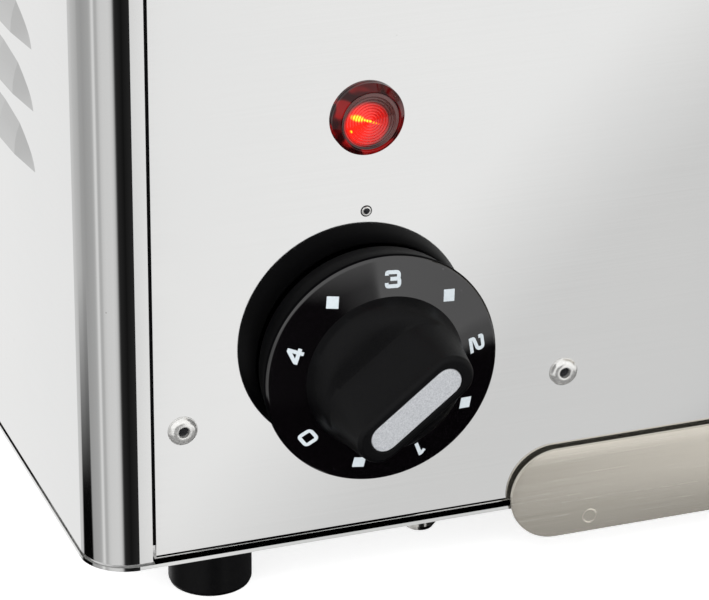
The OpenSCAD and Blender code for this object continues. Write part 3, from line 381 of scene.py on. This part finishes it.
def lens_rim():
    """The lens's bevelled rim: clear deep red, lit from within in smooth patches at its left and foot."""
    made, tree, shader = new_material("red_polycarbonate_rim", "3c0808", roughness=0.05,
                                      specular_ior_level=0.3)
    spot = from_lamp(tree)
    patches = pattern(tree, (5.0, 5.0, 5.0), 0.0, 0.5, 1.2)
    side = spread(tree, mixed(tree, spot.outputs["X"], -0.7, spot.outputs["Z"], -0.7), 0.0, 1.0, -7.0, 7.0)
    tree.links.new(blend_colours(tree, spread(tree, patches, 0.0, 1.0, 0.35, 0.65), "200405", "4c0a0b"),
                   shader.inputs["Base Color"])
    glow = calc(tree, "MULTIPLY", spread(tree, patches, 0.0, 0.38, 0.48, 0.62), side)
    tree.links.new(glow, shader.inputs["Emission Strength"])
    shader.inputs["Emission Color"].default_value = linear("c41410")
    relief(tree, shader, patches, 0.01)
    return made


def clear_glass():
    """Toughened float glass: clear, faintly green, with a slight roller wave."""
    made, tree, shader = new_material("toughened_float_glass", "f2faf7", roughness=0.01,
                                      transmission_weight=1.0, ior=1.52)
    relief(tree, shader, pattern(tree, (60, 20, 20), 1.0), 0.02)
    smear = pattern(tree, (30, 30, 12), 3.0, 0.6)
    tree.links.new(spread(tree, smear, 0.0, 0.04, 0.45, 0.75), shader.inputs["Roughness"])
    return made


def brass():
    """Drawn brass with fine lines that run from front to back."""
    made, tree, shader = new_material("drawn_brass", "c9a45a", metallic=1.0, roughness=0.25)
    lines = pattern(tree, (0.3, 20, 0.3), 3.0)
    tree.links.new(blend_colours(tree, spread(tree, lines, 0.0, 1.0), "b08c46", "d9b871"),
                   shader.inputs["Base Color"])
    tree.links.new(spread(tree, lines, 0.18, 0.36), shader.inputs["Roughness"])
    relief(tree, shader, lines, 0.003)
    return made


FLOOR_GLOW = 0.75           # keeps the floor near white, with only a faint shadow under the oven


def white_floor():
    """A seamless white studio floor."""
    made, tree, shader = new_material("studio_paper", "f7f7f7", roughness=0.8)
    fibre = pattern(tree, (400, 400, 400), 2.0)
    tree.links.new(blend_colours(tree, spread(tree, fibre, 0.0, 1.0), "f5f5f5", "f9f9f9"),
                   shader.inputs["Base Color"])
    shader.inputs["Emission Color"].default_value = linear("ffffff")
    shader.inputs["Emission Strength"].default_value = FLOOR_GLOW
    return made


BRIGHT = {axis: bright_annealed_steel(axis) for axis in "xy"}
BRUSHED = {axis: brushed_steel(axis) for axis in "xz"}
MILL, NICKEL, CHROME, SHEATH = mill_steel(), plated_steel(), chrome_plate(), heater_sheath()
RIVET = rivet_steel()
GRIP, DIAL, SIDE, INK, FOIL = phenolic_grip(), glossy_dial(), dull_phenolic(), pad_print(), satin_foil()
LENS, LENS_RIM, GLASS, BRASS = red_lens(), lens_rim(), clear_glass(), brass()
# black rubber for the feet, and painted shade for the strip behind the open corner seam
RUBBER_AND_SHADE = moulded("black_rubber_and_painted_shade", "050506", "0a0a0b", 0.5, 0.02, 0.3, 0.45, specular_ior_level=0.15)
SILICONE = moulded("grey_silicone_seal", "48484b", "5a5a5d", 0.8, 0.03, 0.4, 0.6)
NYLON = moulded("black_nylon", "101012", "1d1d20", 0.3, 0.02, 0.3, 0.5)
CERAMIC = moulded("unglazed_steatite", "d9d3c3", "e8e3d6", 0.5, 0.02, 0.5, 0.7)
ZINC = moulded("zinc_die_casting", "8d9092", "a3a6a8", 1.1, 0.05, 0.4, 0.6, metallic=0.9)
# dark steel for the parts in that slot, and painted shade for the rivet bores and the index pin's middle and edge
DARK_STEEL_AND_SHADE = moulded("black_steel_and_painted_shade", "1c1d20", "2b2c30", 0.7, 0.01, 0.3, 0.5, metallic=0.5)
WIRE = moulded("glass_braid_sleeve", "a38a68", "c4ab86", 0.45, 0.08, 0.6, 0.8)

FINISH = {
    "front_panel": BRIGHT["x"], "left_side_panel": BRIGHT["y"], "right_side_panel": BRIGHT["y"],
    "top_panel": BRIGHT["x"], "base_plate": BRIGHT["x"], "door_frame": BRUSHED["x"],
    "tray_front_plate": BRUSHED["x"], "tray_pan": BRUSHED["x"], "handle_bar": BRUSHED["z"],
    "knob_skirt": DIAL, "knob_grip": GRIP, "handle_posts": GRIP, "knob_inlay": FOIL, "pilot_lens": LENS,
    "door_glass": GLASS, "door_seal": SILICONE, "rubber_feet": RUBBER_AND_SHADE, "motor_gearbox": ZINC,
    "regulator_spindle": BRASS, "inlet_pins": BRASS, "wiring_loom": WIRE,
}
BY_SLOT = {"mill_steel": MILL, "plated_steel": NICKEL, "chromed_steel": CHROME, "heater_sheath": SHEATH,
           "black_nylon": NYLON, "steatite": CERAMIC, "dark_steel": DARK_STEEL_AND_SHADE}
SLOT_OF = {row["node"]: row["material_slot"] for row in frame["record"]["subparts"]}

for name, obj in frame["nodes"].items():
    finish = FINISH.get(name) or BY_SLOT[SLOT_OF[name]]
    for place in obj.material_slots:
        place.material = finish
    if not obj.material_slots:
        obj.data.materials.append(finish)


# ---- making pieces ----
def piece(name, mesh, material, body, stands_for=(), sharp=35):
    """Puts a mesh into the scene as a piece that rides on a body."""
    mesh.shade_smooth()
    mesh.set_sharp_from_angle(angle=math.radians(sharp))
    mesh.materials.append(material)
    obj = bpy.data.objects.new(name, mesh)
    scene.collection.objects.link(obj)
    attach(obj, body)
    if stands_for:
        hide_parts(*stands_for)
    return obj


def mesh_of(name, points, faces):
    """A mesh from points in metres and faces that list them."""
    mesh = bpy.data.meshes.new(name)
    mesh.from_pydata([tuple(p) for p in points], [], faces)
    mesh.validate()
    return mesh


def out_front(origin, right, out, up):
    """A point given in millimetres right of, out of the front of and above an origin."""
    return origin + Vector((right, -out, up)) * MM


def ring_faces(rows, segments, start=0):
    """Four-cornered faces between each ring of points and the next."""
    faces = []
    for i in range(rows - 1):
        for k in range(segments):
            n = (k + 1) % segments
            faces.append([start + i * segments + k, start + i * segments + n,
                          start + (i + 1) * segments + n, start + (i + 1) * segments + k])
    return faces


def turned(profile, origin, segments=96, start=0):
    """Points and faces of a profile of (radius, reach) turned about an axis out of the front."""
    points = []
    for radius, reach in profile:
        for k in range(segments):
            a = 2 * math.pi * k / segments
            points.append(out_front(origin, radius * math.cos(a), reach, radius * math.sin(a)))
    return points, ring_faces(len(profile), segments, start)


def capped(rows, faces, segments, ends=(True, True)):
    """Closes the first and the last ring of points, each with one face."""
    last = (rows - 1) * segments
    if ends[0]:
        faces.append(list(range(segments))[::-1])
    if ends[1]:
        faces.append([last + k for k in range(segments)])


def arc(cx, cy, radius, start, end, steps=6):
    """Points on an arc, from one angle to another in degrees."""
    angles = (math.radians(start + (end - start) * i / steps) for i in range(steps + 1))
    return [(cx + radius * math.cos(a), cy + radius * math.sin(a)) for a in angles]


# ---- knob ----
EDGE = 1.3                  # radius of the dial's rounded rim
SLOPE = math.radians(14.7)  # of the dial's face
BLADE_TILT = 37.9           # the grip bar above the level, in degrees
BLADE_HALF, BLADE_SIDE = 16.9, 5.6      # half length and half width of the bar's top
DOME_SHARE, CREASE_SIDE = 0.34, 10.6    # where the grip's dome ends: share of its height, half width
INLAY_HALF, INLAY_SIDE = 13.5, 3.45
INLAY_PLAY = 0.15           # between the inlay and its recess


def face_reach(radius):
    """Reach of the dial's sloping face at a radius."""
    return FACE - (radius - HUB_R) * math.tan(SLOPE)


def make_dial():
    """The dial: a dull skirt with a glossy sloping face."""
    rim = RIM_R - EDGE
    low = face_reach(rim) - EDGE / math.cos(SLOPE)
    rounded = arc(rim, low, EDGE, 0, 90 - math.degrees(SLOPE), 8)
    profile = [(RIM_R - 3.2, 1.4), (RIM_R - 1.9, 1.2), (RIM_R - 1.6, 1.5), (RIM_R - 0.9, 6.0), *rounded,
               (24, face_reach(24)), (HUB_R - 1.5, face_reach(HUB_R - 1.5)),
               (HUB_R - 1.5, FACE - 2.4), (RIM_R - 4, low - 1.2), (RIM_R - 3.2, 1.4)]
    points, faces = turned(profile, KNOB, 128)
    made = piece("dial_skirt", mesh_of("dial_skirt", points, faces), DIAL, "knob",
                 ("knob_skirt",), 50)
    made.data.materials.append(SIDE)
    forward = 0.55          # faces that look forward less than this belong to the skirt
    for face in made.data.polygons:
        if -face.normal.y < forward:
            face.material_index = 1


def stadium_radius(angle, half_length, half_width):
    """Distance from the middle to the edge of a round-ended bar at an angle from its long axis."""
    c, s = abs(math.cos(angle)), abs(math.sin(angle))
    straight = half_length - half_width
    if s > 1e-9 and c * half_width / s <= straight:
        return half_width / s
    return c * straight + math.sqrt(max(half_width ** 2 - (straight * s) ** 2, 0))


def grip_section(reach):
    """Half length and half width of the grip at a distance from the panel."""
    t = min(max((reach - FACE) / (GRIP_TOP - FACE), 0), 1)
    half_length = HUB_R + (BLADE_HALF - HUB_R) * t ** 0.8
    if t < DOME_SHARE:
        half_width = CREASE_SIDE + (HUB_R - CREASE_SIDE) * math.sqrt(1 - (t / DOME_SHARE) ** 2)
    else:
        left = 1 - (t - DOME_SHARE) / (1 - DOME_SHARE)
        half_width = BLADE_SIDE + (CREASE_SIDE - BLADE_SIDE) * left ** 1.5
    return half_length, min(half_width, half_length)


def bar_mesh(name, rows, segments):
    """A round-ended bar on the knob, from rows of (reach, half length, half width)."""
    points = []
    turn = math.radians(BLADE_TILT)
    for reach, half_length, half_width in rows:
        for k in range(segments):
            a = 2 * math.pi * k / segments
            r = stadium_radius(a, half_length, half_width)
            points.append(out_front(KNOB, r * math.cos(a + turn), reach, r * math.sin(a + turn)))
    faces = ring_faces(len(rows), segments)
    capped(len(rows), faces, segments)
    return mesh_of(name, points, faces)


def make_grip():
    """The grip: a dome on the dial that rises into a bar, with a recess for the inlay."""
    edge, steps = 1.3, 50
    rows = [(FACE - 2.6, *grip_section(FACE))]
    for i in range(steps + 1):
        reach = FACE + (GRIP_TOP - edge - FACE) * i / steps
        rows.append((reach, *grip_section(reach)))
    top_length, top_width = rows[-1][1], rows[-1][2]
    for a, b in arc(0, 0, edge, 0, 90, 6)[1:]:
        rows.append((GRIP_TOP - edge + b, top_length - edge + a, top_width - edge + a))
    for depth, play in ((0, 2 * INLAY_PLAY), (0.15, INLAY_PLAY), (0.6, INLAY_PLAY)):
        rows.append((GRIP_TOP - depth, INLAY_HALF + play, INLAY_SIDE + play))
    piece("knob_bar", bar_mesh("knob_bar", rows, 160), GRIP, "knob", ("knob_grip",), 40)


def make_inlay():
    """The foil inlay, with a slightly rounded edge."""
    rows = [(GRIP_TOP - depth, INLAY_HALF - inset, INLAY_SIDE - inset)
            for depth, inset in ((0.55, 0), (0.3, 0), (0.12, 0.2))]
    piece("knob_foil", bar_mesh("knob_foil", rows, 96), FOIL, "knob", ("knob_inlay",))


MARK_R = 24.4
MARK_STEP = 38.0            # degrees between two marks
MARK_START = 5.0            # the mark 3, clockwise from the top
MARKS = ["4", None, "3", None, "2", None, "1", None, "0"]
MARK_TWIST = 7.0            # every square stands this far clockwise of level
SQUARE_HALF = 1.5
INK_HALF = 0.03             # half the ink's thickness
STROKE_WIDE = 0.95
STROKE_LIFT = 0.008         # each further stroke of a digit lies this much higher
# The middle line of each digit's strokes, in millimetres from its middle: a corner radius, then the points.
STROKES = {
    "0": [(1.0, [(0, 1.7), (1.6, 1.7), (1.6, -1.7), (-1.6, -1.7), (-1.6, 1.7), (0, 1.7)])],
    "1": [(0.0, [(0.35, -2.17), (0.35, 2.17)]), (0.0, [(-1.05, 0.95), (0.35, 1.85)])],
    "2": [(0.8, [(-1.6, 0.7), (-1.6, 1.7), (1.6, 1.7), (1.6, 0.05), (-1.6, -0.75), (-1.6, -1.72)]),
          (0.0, [(-2.07, -1.72), (2.07, -1.72)])],
    "3": [(0.7, [(-1.6, 0.95), (-1.6, 1.7), (1.5, 1.7), (1.5, 0.08), (-0.7, 0.08)]),
          (0.75, [(0.5, 0.08), (1.6, 0.08), (1.6, -1.7), (-1.65, -1.7), (-1.65, -0.85)])],
    "4": [(0.0, [(0.95, -2.17), (0.95, 2.0)]), (0.0, [(0.95, 1.75), (-1.65, -0.75)]),
          (0.0, [(-2.07, -0.95), (2.07, -0.95)])],
}


def rounded_line(points, radius):
    """The points of a line with each inner corner rounded."""
    line = [Vector(points[0])]
    for before, corner, after in zip(points, points[1:], points[2:]):
        before, corner, after = Vector(before), Vector(corner), Vector(after)
        back, on = (before - corner), (after - corner)
        reach = min(radius, back.length * 0.5, on.length * 0.5)
        start, end = corner + back.normalized() * reach, corner + on.normalized() * reach
        for i in range(7):
            t = i / 6
            line.append(start * (1 - t) ** 2 + corner * 2 * t * (1 - t) + end * t ** 2)
    line.append(Vector(points[-1]))
    return [p for i, p in enumerate(line) if i == 0 or (p - line[i - 1]).length > 1e-4]


def digit_mesh(text):
    """A bold, wide digit lying in X and Y, made of flat strokes."""
    points, faces = [], []
    for order, (radius, corners) in enumerate(STROKES[text]):
        line = rounded_line(corners, radius)
        first = len(points)
        top = INK_HALF + STROKE_LIFT * order
        for i, place in enumerate(line):
            ahead = (line[min(i + 1, len(line) - 1)] - place)
            behind = (place - line[max(i - 1, 0)])
            way = (ahead.normalized() + behind.normalized()).normalized()
            side = Vector((-way.y, way.x)) * STROKE_WIDE / 2
            for edge in (place + side, place - side):
                points += [(edge.x, edge.y, -INK_HALF), (edge.x, edge.y, top)]
        for i in range(len(line) - 1):
            k = first + 4 * i
            faces += [[k + 1, k + 3, k + 7, k + 5], [k, k + 4, k + 6, k + 2], [k, k + 1, k + 5, k + 4],
                      [k + 2, k + 6, k + 7, k + 3]]
        last = first + 4 * (len(line) - 1)
        faces += [[first, first + 2, first + 3, first + 1], [last, last + 1, last + 3, last + 2]]
    return mesh_of("digit_" + text, points, faces)


def square_mesh(turn):
    """A printed square, turned clockwise."""
    c, d = SQUARE_HALF * math.cos(turn), SQUARE_HALF * math.sin(turn)
    outline = [(-c - d, -c + d), (c - d, -c - d), (c + d, c - d), (-c + d, c + d)]
    points = [(x, y, z) for z in (-INK_HALF, INK_HALF) for x, y in outline]
    faces = [[3, 2, 1, 0], [4, 5, 6, 7]] + [[k, (k + 1) % 4, 4 + (k + 1) % 4, 4 + k] for k in range(4)]
    return mesh_of("square", points, faces)


def make_marks():
    """The printed numbers and squares, each lying on the dial's sloping face."""
    for i, text in enumerate(MARKS):
        clockwise = MARK_START + (i - 2) * MARK_STEP
        angle = math.radians(90 - clockwise)
        mesh = digit_mesh(text) if text else square_mesh(math.radians(MARK_TWIST - clockwise))
        out = Vector((math.cos(angle), 0, math.sin(angle)))
        side = Vector((math.sin(angle), 0, -math.cos(angle)))
        normal = Vector((0, -1, 0))
        up = (out * math.cos(SLOPE) - normal * math.sin(SLOPE)).normalized()
        normal = (normal * math.cos(SLOPE) + out * math.sin(SLOPE)).normalized()
        place = KNOB + out * MARK_R * MM + Vector((0, -(face_reach(MARK_R) + INK_HALF), 0)) * MM
        basis = Matrix((side, up, normal)).transposed()
        for v in mesh.vertices:
            v.co = place + basis @ v.co * MM
        piece("dial_mark_" + (text or "square") + f"_{i}", mesh, INK, "knob")


# ---- pilot lamp, rivets, index pin ----
RING_LIFT = 0.16            # half the height of a ring's wave
RINGED_R = 6.4              # the rings end here, and the lens is flat from here to its rim
WINDOW_REACH = 2.55


def make_pilot_lens():
    """The lens: a bevelled rim and a window with fine rings."""
    outer, inner = LENS_R, LENS_R - 1.7
    rim = [(0.2, 0.05), (outer - 0.1, 0.02), (outer, 0.2), (outer, 1.0),
           *arc(outer - 0.35, 1.0, 0.35, 10, 50, 3), (inner + 0.25, 2.9),
           *arc(inner + 0.1, 2.8, 0.15, 60, 150, 3), (inner - 0.15, 2.4), (0.2, 2.4)]
    points, faces = turned(rim, LAMP)
    piece("pilot_rim", mesh_of("pilot_rim", points, faces), LENS_RIM, "casing",
          ("pilot_lens",), 25)
    rings = []
    steps = 6
    for i in range(int(inner // RING_PITCH) * steps, -1, -1):
        radius = i * RING_PITCH / steps
        lift = RING_LIFT * math.cos(2 * math.pi * i / steps) if radius < RINGED_R else 0.0
        rings.append((max(radius, 0.02), WINDOW_REACH + lift))
    points, faces = turned(rings, LAMP)
    capped(len(rings), faces, 96, (False, True))
    piece("pilot_window", mesh_of("pilot_window", points, faces), LENS, "casing", (), 60)


RIVET_HALF = 4              # half the width of a rivet's head in the part's source


def make_rivets():
    """Blind rivets: a domed head with a rolled edge, and a bore with the mandrel's stub in it, painted near black
    as the bore's shade.
    """
    head = [(1.35, 0.1), (1.4, 0.9), *arc(1.62, 1.15, 0.22, 180, 80, 4), (2.3, 1.34), (2.8, 1.2),
            (3.15, 0.95), (3.4, 0.62), (3.55, 0.34), *arc(3.6, 0.2, 0.15, 60, -10, 4), (3.75, 0.02)]
    bore = [(0.02, 0.35), (0.55, 0.35), (0.75, 0.15), (1.36, 0.12)]
    low, high = (Vector(c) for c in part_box("front_rivets"))
    inset = RIVET_HALF * MM
    for name, profile, material, kind, stands_for in (
            ("front_rivet_heads", head, RIVET, "plated_steel", ("front_rivets",)),
            # painted shade: near-black discs darken the shallow bores and the mandrels' stubs
            ("rivet_bore_shade", bore, DARK_STEEL_AND_SHADE, "dark_steel", ())):
        points, faces = [], []
        for x in (low.x + inset, high.x - inset):
            for z in (low.z + inset, high.z - inset):
                more, rings = turned(profile, Vector((x, FRONT, z)), 48, len(points))
                points += more
                faces += rings
        piece(name, mesh_of(name, points, faces), material, "casing", stands_for, 30)


def make_pin_head():
    """The index pin's end: a bright ring, with painted shade as a near-black middle and a near-black edge round
    its foot.
    """
    ring = [(0.8, 0.02), (0.8, 0.3), (0.9, 0.38), (1.1, 0.36), (1.2, 0.2), (1.2, 0.02)]
    points, faces = turned(ring, PIN, 40)
    piece("index_pin_ring", mesh_of("index_pin_ring", points, faces), RIVET, "casing",
          ("index_pin",), 30)
    points, faces = turned([(0.01, 0.24), (0.4, 0.2), (0.81, 0.12)], PIN, 32)
    edge = [(1.19, 0.1), (1.3, 0.16), (1.45, 0.1), (1.47, 0.01)]
    edge_points, edge_faces = turned(edge, PIN, 32, len(points))
    points += edge_points
    faces += edge_faces
    # painted shade: the near-black middle darkens the pin's hollow, the near-black edge the gap round its foot
    piece("index_pin_shade", mesh_of("index_pin_shade", points, faces), DARK_STEEL_AND_SHADE, "casing")


SEAM_OUTSIDE, SEAM_INSIDE = 1.6, 0.8    # past the front panel's left edge, and behind the panel from there
SEAM_DEPTHS = (1.05, 1.5)               # of the shade strip's front and back, behind the panel's face
SEAM_END = 4                            # the shade strip stops this far short of the panel's top and foot


def make_seam_shade_strip():
    """A black strip behind the open seam between the left panel's corner and the front panel: painted shade that
    keeps the seam dark.
    """
    low, high = (Vector(c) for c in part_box("front_panel"))
    x0, x1 = low.x - SEAM_OUTSIDE * MM, low.x + SEAM_INSIDE * MM
    y0, y1 = (FRONT + depth * MM for depth in SEAM_DEPTHS)
    z0, z1 = low.z + SEAM_END * MM, high.z - SEAM_END * MM
    points = [(x, y, z) for x in (x0, x1) for y in (y0, y1) for z in (z0, z1)]
    faces = [[0, 1, 3, 2], [4, 6, 7, 5], [0, 4, 5, 1], [2, 3, 7, 6], [0, 2, 6, 4], [1, 5, 7, 3]]
    # painted shade: the black strip darkens the open seam from behind
    piece("seam_shade_strip", mesh_of("seam_shade_strip", points, faces), RUBBER_AND_SHADE, "casing")


# ---- drip tray's front plate ----
def make_tray_plate():
    """The round-ended steel plate on the pan, with a soft edge."""
    half = (PLATE_HIGH.x - PLATE_LOW.x) / 2 / MM
    high = (PLATE_HIGH.z - PLATE_LOW.z) / 2 / MM
    thick = (PLATE_HIGH.y - PLATE_LOW.y) / MM
    centre = Vector(((PLATE_LOW.x + PLATE_HIGH.x) / 2, PLATE_HIGH.y, (PLATE_LOW.z + PLATE_HIGH.z) / 2))
    edge = 0.25
    rows = [(0.0, 0.0)] + [(-edge + a, thick - edge + b) for a, b in arc(0, 0, edge, 0, 90, 4)]
    steps = 40
    points = []
    for inset, out in rows:
        for side in (0, 1):
            for k in range(steps + 1):
                a = math.radians(-90 + 180 * side + 180 * k / steps)
                cx = (half - high) * (1 if side == 0 else -1)
                r = high + inset
                points.append(out_front(centre, cx + r * math.cos(a), out, r * math.sin(a)))
    ring = 2 * (steps + 1)
    faces = ring_faces(len(rows), ring)
    capped(len(rows), faces, ring)
    piece("tray_front", mesh_of("tray_front", points, faces), BRUSHED["x"], "tray",
          ("tray_front_plate",), 40)


WELD_INSET, WELD_RISE = 21.5, 4.2       # from the plate's end, and above its lower edge


def make_weld_marks():
    """The low raised ring that each spot weld leaves on the plate."""
    ring = [(2.3, -0.02), (2.05, 0.05), (1.8, 0.07), (1.55, 0.04), (1.3, -0.02)]
    for i, x in enumerate((PLATE_LOW.x + WELD_INSET * MM, PLATE_HIGH.x - WELD_INSET * MM)):
        name = f"spot_weld_{i}"
        points, faces = turned(ring, Vector((x, PLATE_LOW.y, PLATE_LOW.z + WELD_RISE * MM)), 48)
        piece(name, mesh_of(name, points, faces), BRUSHED["x"], "tray")


make_dial()
make_grip()
make_inlay()
make_marks()
make_pilot_lens()
make_rivets()
make_pin_head()
make_seam_shade_strip()
make_tray_plate()
make_weld_marks()


# ---- studio ----
FLOOR_SIDE = 60             # metres


def make_floor():
    """A wide floor that no reflection shows."""
    bpy.ops.mesh.primitive_plane_add(size=FLOOR_SIDE, location=(0, 0, 0))
    floor = bpy.context.object
    floor.name = "studio_floor"
    floor.data.materials.append(white_floor())
    floor.visible_glossy = False


# Brightness of the studio at each heading, as polished metal sees it; 0 is straight out from the front.
SCREENS = [(-176, 0.95), (-165, 0.95), (-160, 0.7), (-153, 0.66), (-143, 0.58), (-133, 0.55), (-123, 0.5),
           (-117, 0.42), (-103, 0.38), (-83, 0.44), (-78, 0.5), (-73, 0.78), (-70, 0.78), (-66, 0.5),
           (-62, 0.5), (-57, 0.66), (-50, 0.72), (-33, 0.74), (-27, 0.66), (-23.5, 0.45), (-20, 0.06),
           (-17, 0.02), (-3, 0.008), (7, 0.02), (15.2, 0.06), (16.0, 0.6), (16.6, 0.97), (22, 1.0),
           (25, 1.0), (60, 0.85), (110, 0.9)]
# Lowest elevation of the screens at each heading; below it the metal sees only dark.
SCREEN_FEET = [(-180, -90), (-152, -90), (-147, -30), (-140, -26), (-108, -26), (-98, -33), (18, -33),
               (34, -22), (180, -22)]
WHITE_FROM = (-1, 13)       # elevations between which the screens fade into the white above them
DIMMED = 0.74               # share of the brightness that is left under the slope
DIMMED_SLOPE = ((15, -31.5), (30, -16.5))       # heading and elevation of the slope's two ends
EDGE_FADE = 1.5             # half the width of a screen's soft edge, in degrees
ROOM_LIGHT = 1.35           # strength of the world for every ray but a reflection, which sees it at 1


def make_world():
    """An even white studio; polished metal also sees its dark gaps between soft white screens."""
    world = bpy.data.worlds.new("studio")
    scene.world = world
    world.use_nodes = True
    tree = world.node_tree
    back = tree.nodes["Background"]
    place = add(tree, "ShaderNodeTexCoord")
    way = add(tree, "ShaderNodeSeparateXYZ", links={"Vector": place.outputs["Generated"]})
    heading = calc(tree, "ARCTAN2", way.outputs["X"], calc(tree, "MULTIPLY", way.outputs["Y"], -1.0))
    share = spread(tree, heading, 0.0, 1.0, -math.pi, math.pi)
    screens = ramp(tree, share, [((degrees + 180) / 360, value) for degrees, value in SCREENS])
    rise = calc(tree, "ARCSINE", way.outputs["Z"])
    stops = [((degrees + 180) / 360, (lowest + 90) / 90) for degrees, lowest in SCREEN_FEET]
    foot = spread(tree, ramp(tree, share, stops), math.radians(-90), 0.0, 0.0, 1.0)
    soft = math.radians(EDGE_FADE)
    lit = spread(tree, calc(tree, "SUBTRACT", rise, foot), 0.0, 1.0, -soft, soft)
    above = spread(tree, rise, 0.0, 1.0, *map(math.radians, WHITE_FROM))
    (left, left_rise), (right, right_rise) = (map(math.radians, end) for end in DIMMED_SLOPE)
    edge = spread(tree, heading, left_rise, right_rise, left, right)
    shade = spread(tree, calc(tree, "SUBTRACT", rise, edge), DIMMED, 1.0, -soft, soft)
    screens = blend_colours(tree, 1.0, screens, shade, "MULTIPLY")
    tone = blend_colours(tree, above, screens, "ffffff")
    tone = blend_colours(tree, lit, "060606", tone)
    glossy = add(tree, "ShaderNodeLightPath").outputs["Is Glossy Ray"]
    tree.links.new(blend_colours(tree, glossy, "ffffff", tone), back.inputs["Color"])
    tree.links.new(spread(tree, glossy, ROOM_LIGHT, 1.0, 0.0, 1.0), back.inputs["Strength"])


def make_light(name, where, target, size, power):
    """A soft area light that the camera doesn't see and no reflection shows."""
    data = bpy.data.lights.new(name, "AREA")
    data.shape = "RECTANGLE"
    data.size, data.size_y = size
    data.energy = power
    lamp = bpy.data.objects.new(name, data)
    scene.collection.objects.link(lamp)
    lamp.location = where
    lamp.rotation_euler = (Vector(target) - Vector(where)).to_track_quat("-Z", "Y").to_euler()
    lamp.visible_camera = False
    lamp.visible_glossy = False


CAMERA_TURN = (20.07, 24.90, 0.33)      # degrees to the right, down and rolled
CAMERA_FROM_KNOB = Vector((-307.5, -832.9, 425.8))
CAMERA_LENS, CAMERA_SENSOR = 204.1, 36


def make_camera():
    """The view from the front left, a little above, through a long lens."""
    yaw, down, roll = map(math.radians, CAMERA_TURN)
    forward = Vector((math.cos(down) * math.sin(yaw), math.cos(down) * math.cos(yaw), -math.sin(down)))
    right = Vector((math.cos(yaw), -math.sin(yaw), 0))
    lower = forward.cross(right).normalized()
    across = right * math.cos(roll) - lower * math.sin(roll)
    lower = right * math.sin(roll) + lower * math.cos(roll)
    data = bpy.data.cameras.new("camera")
    data.sensor_width = CAMERA_SENSOR
    data.lens = CAMERA_LENS
    data.clip_start, data.clip_end = 0.05, 100
    camera = bpy.data.objects.new("camera", data)
    scene.collection.objects.link(camera)
    place = KNOB + CAMERA_FROM_KNOB * MM
    turn = Matrix((across, -lower, -forward)).transposed().to_4x4()
    camera.matrix_world = Matrix.Translation(place) @ turn
    scene.camera = camera


make_floor()
make_world()
make_light("key_softbox", (-1.2, -1.6, 2.2), (0, 0, 0.1), (1.6, 1.2), 38)
make_camera()
scene.view_settings.view_transform = "Standard"
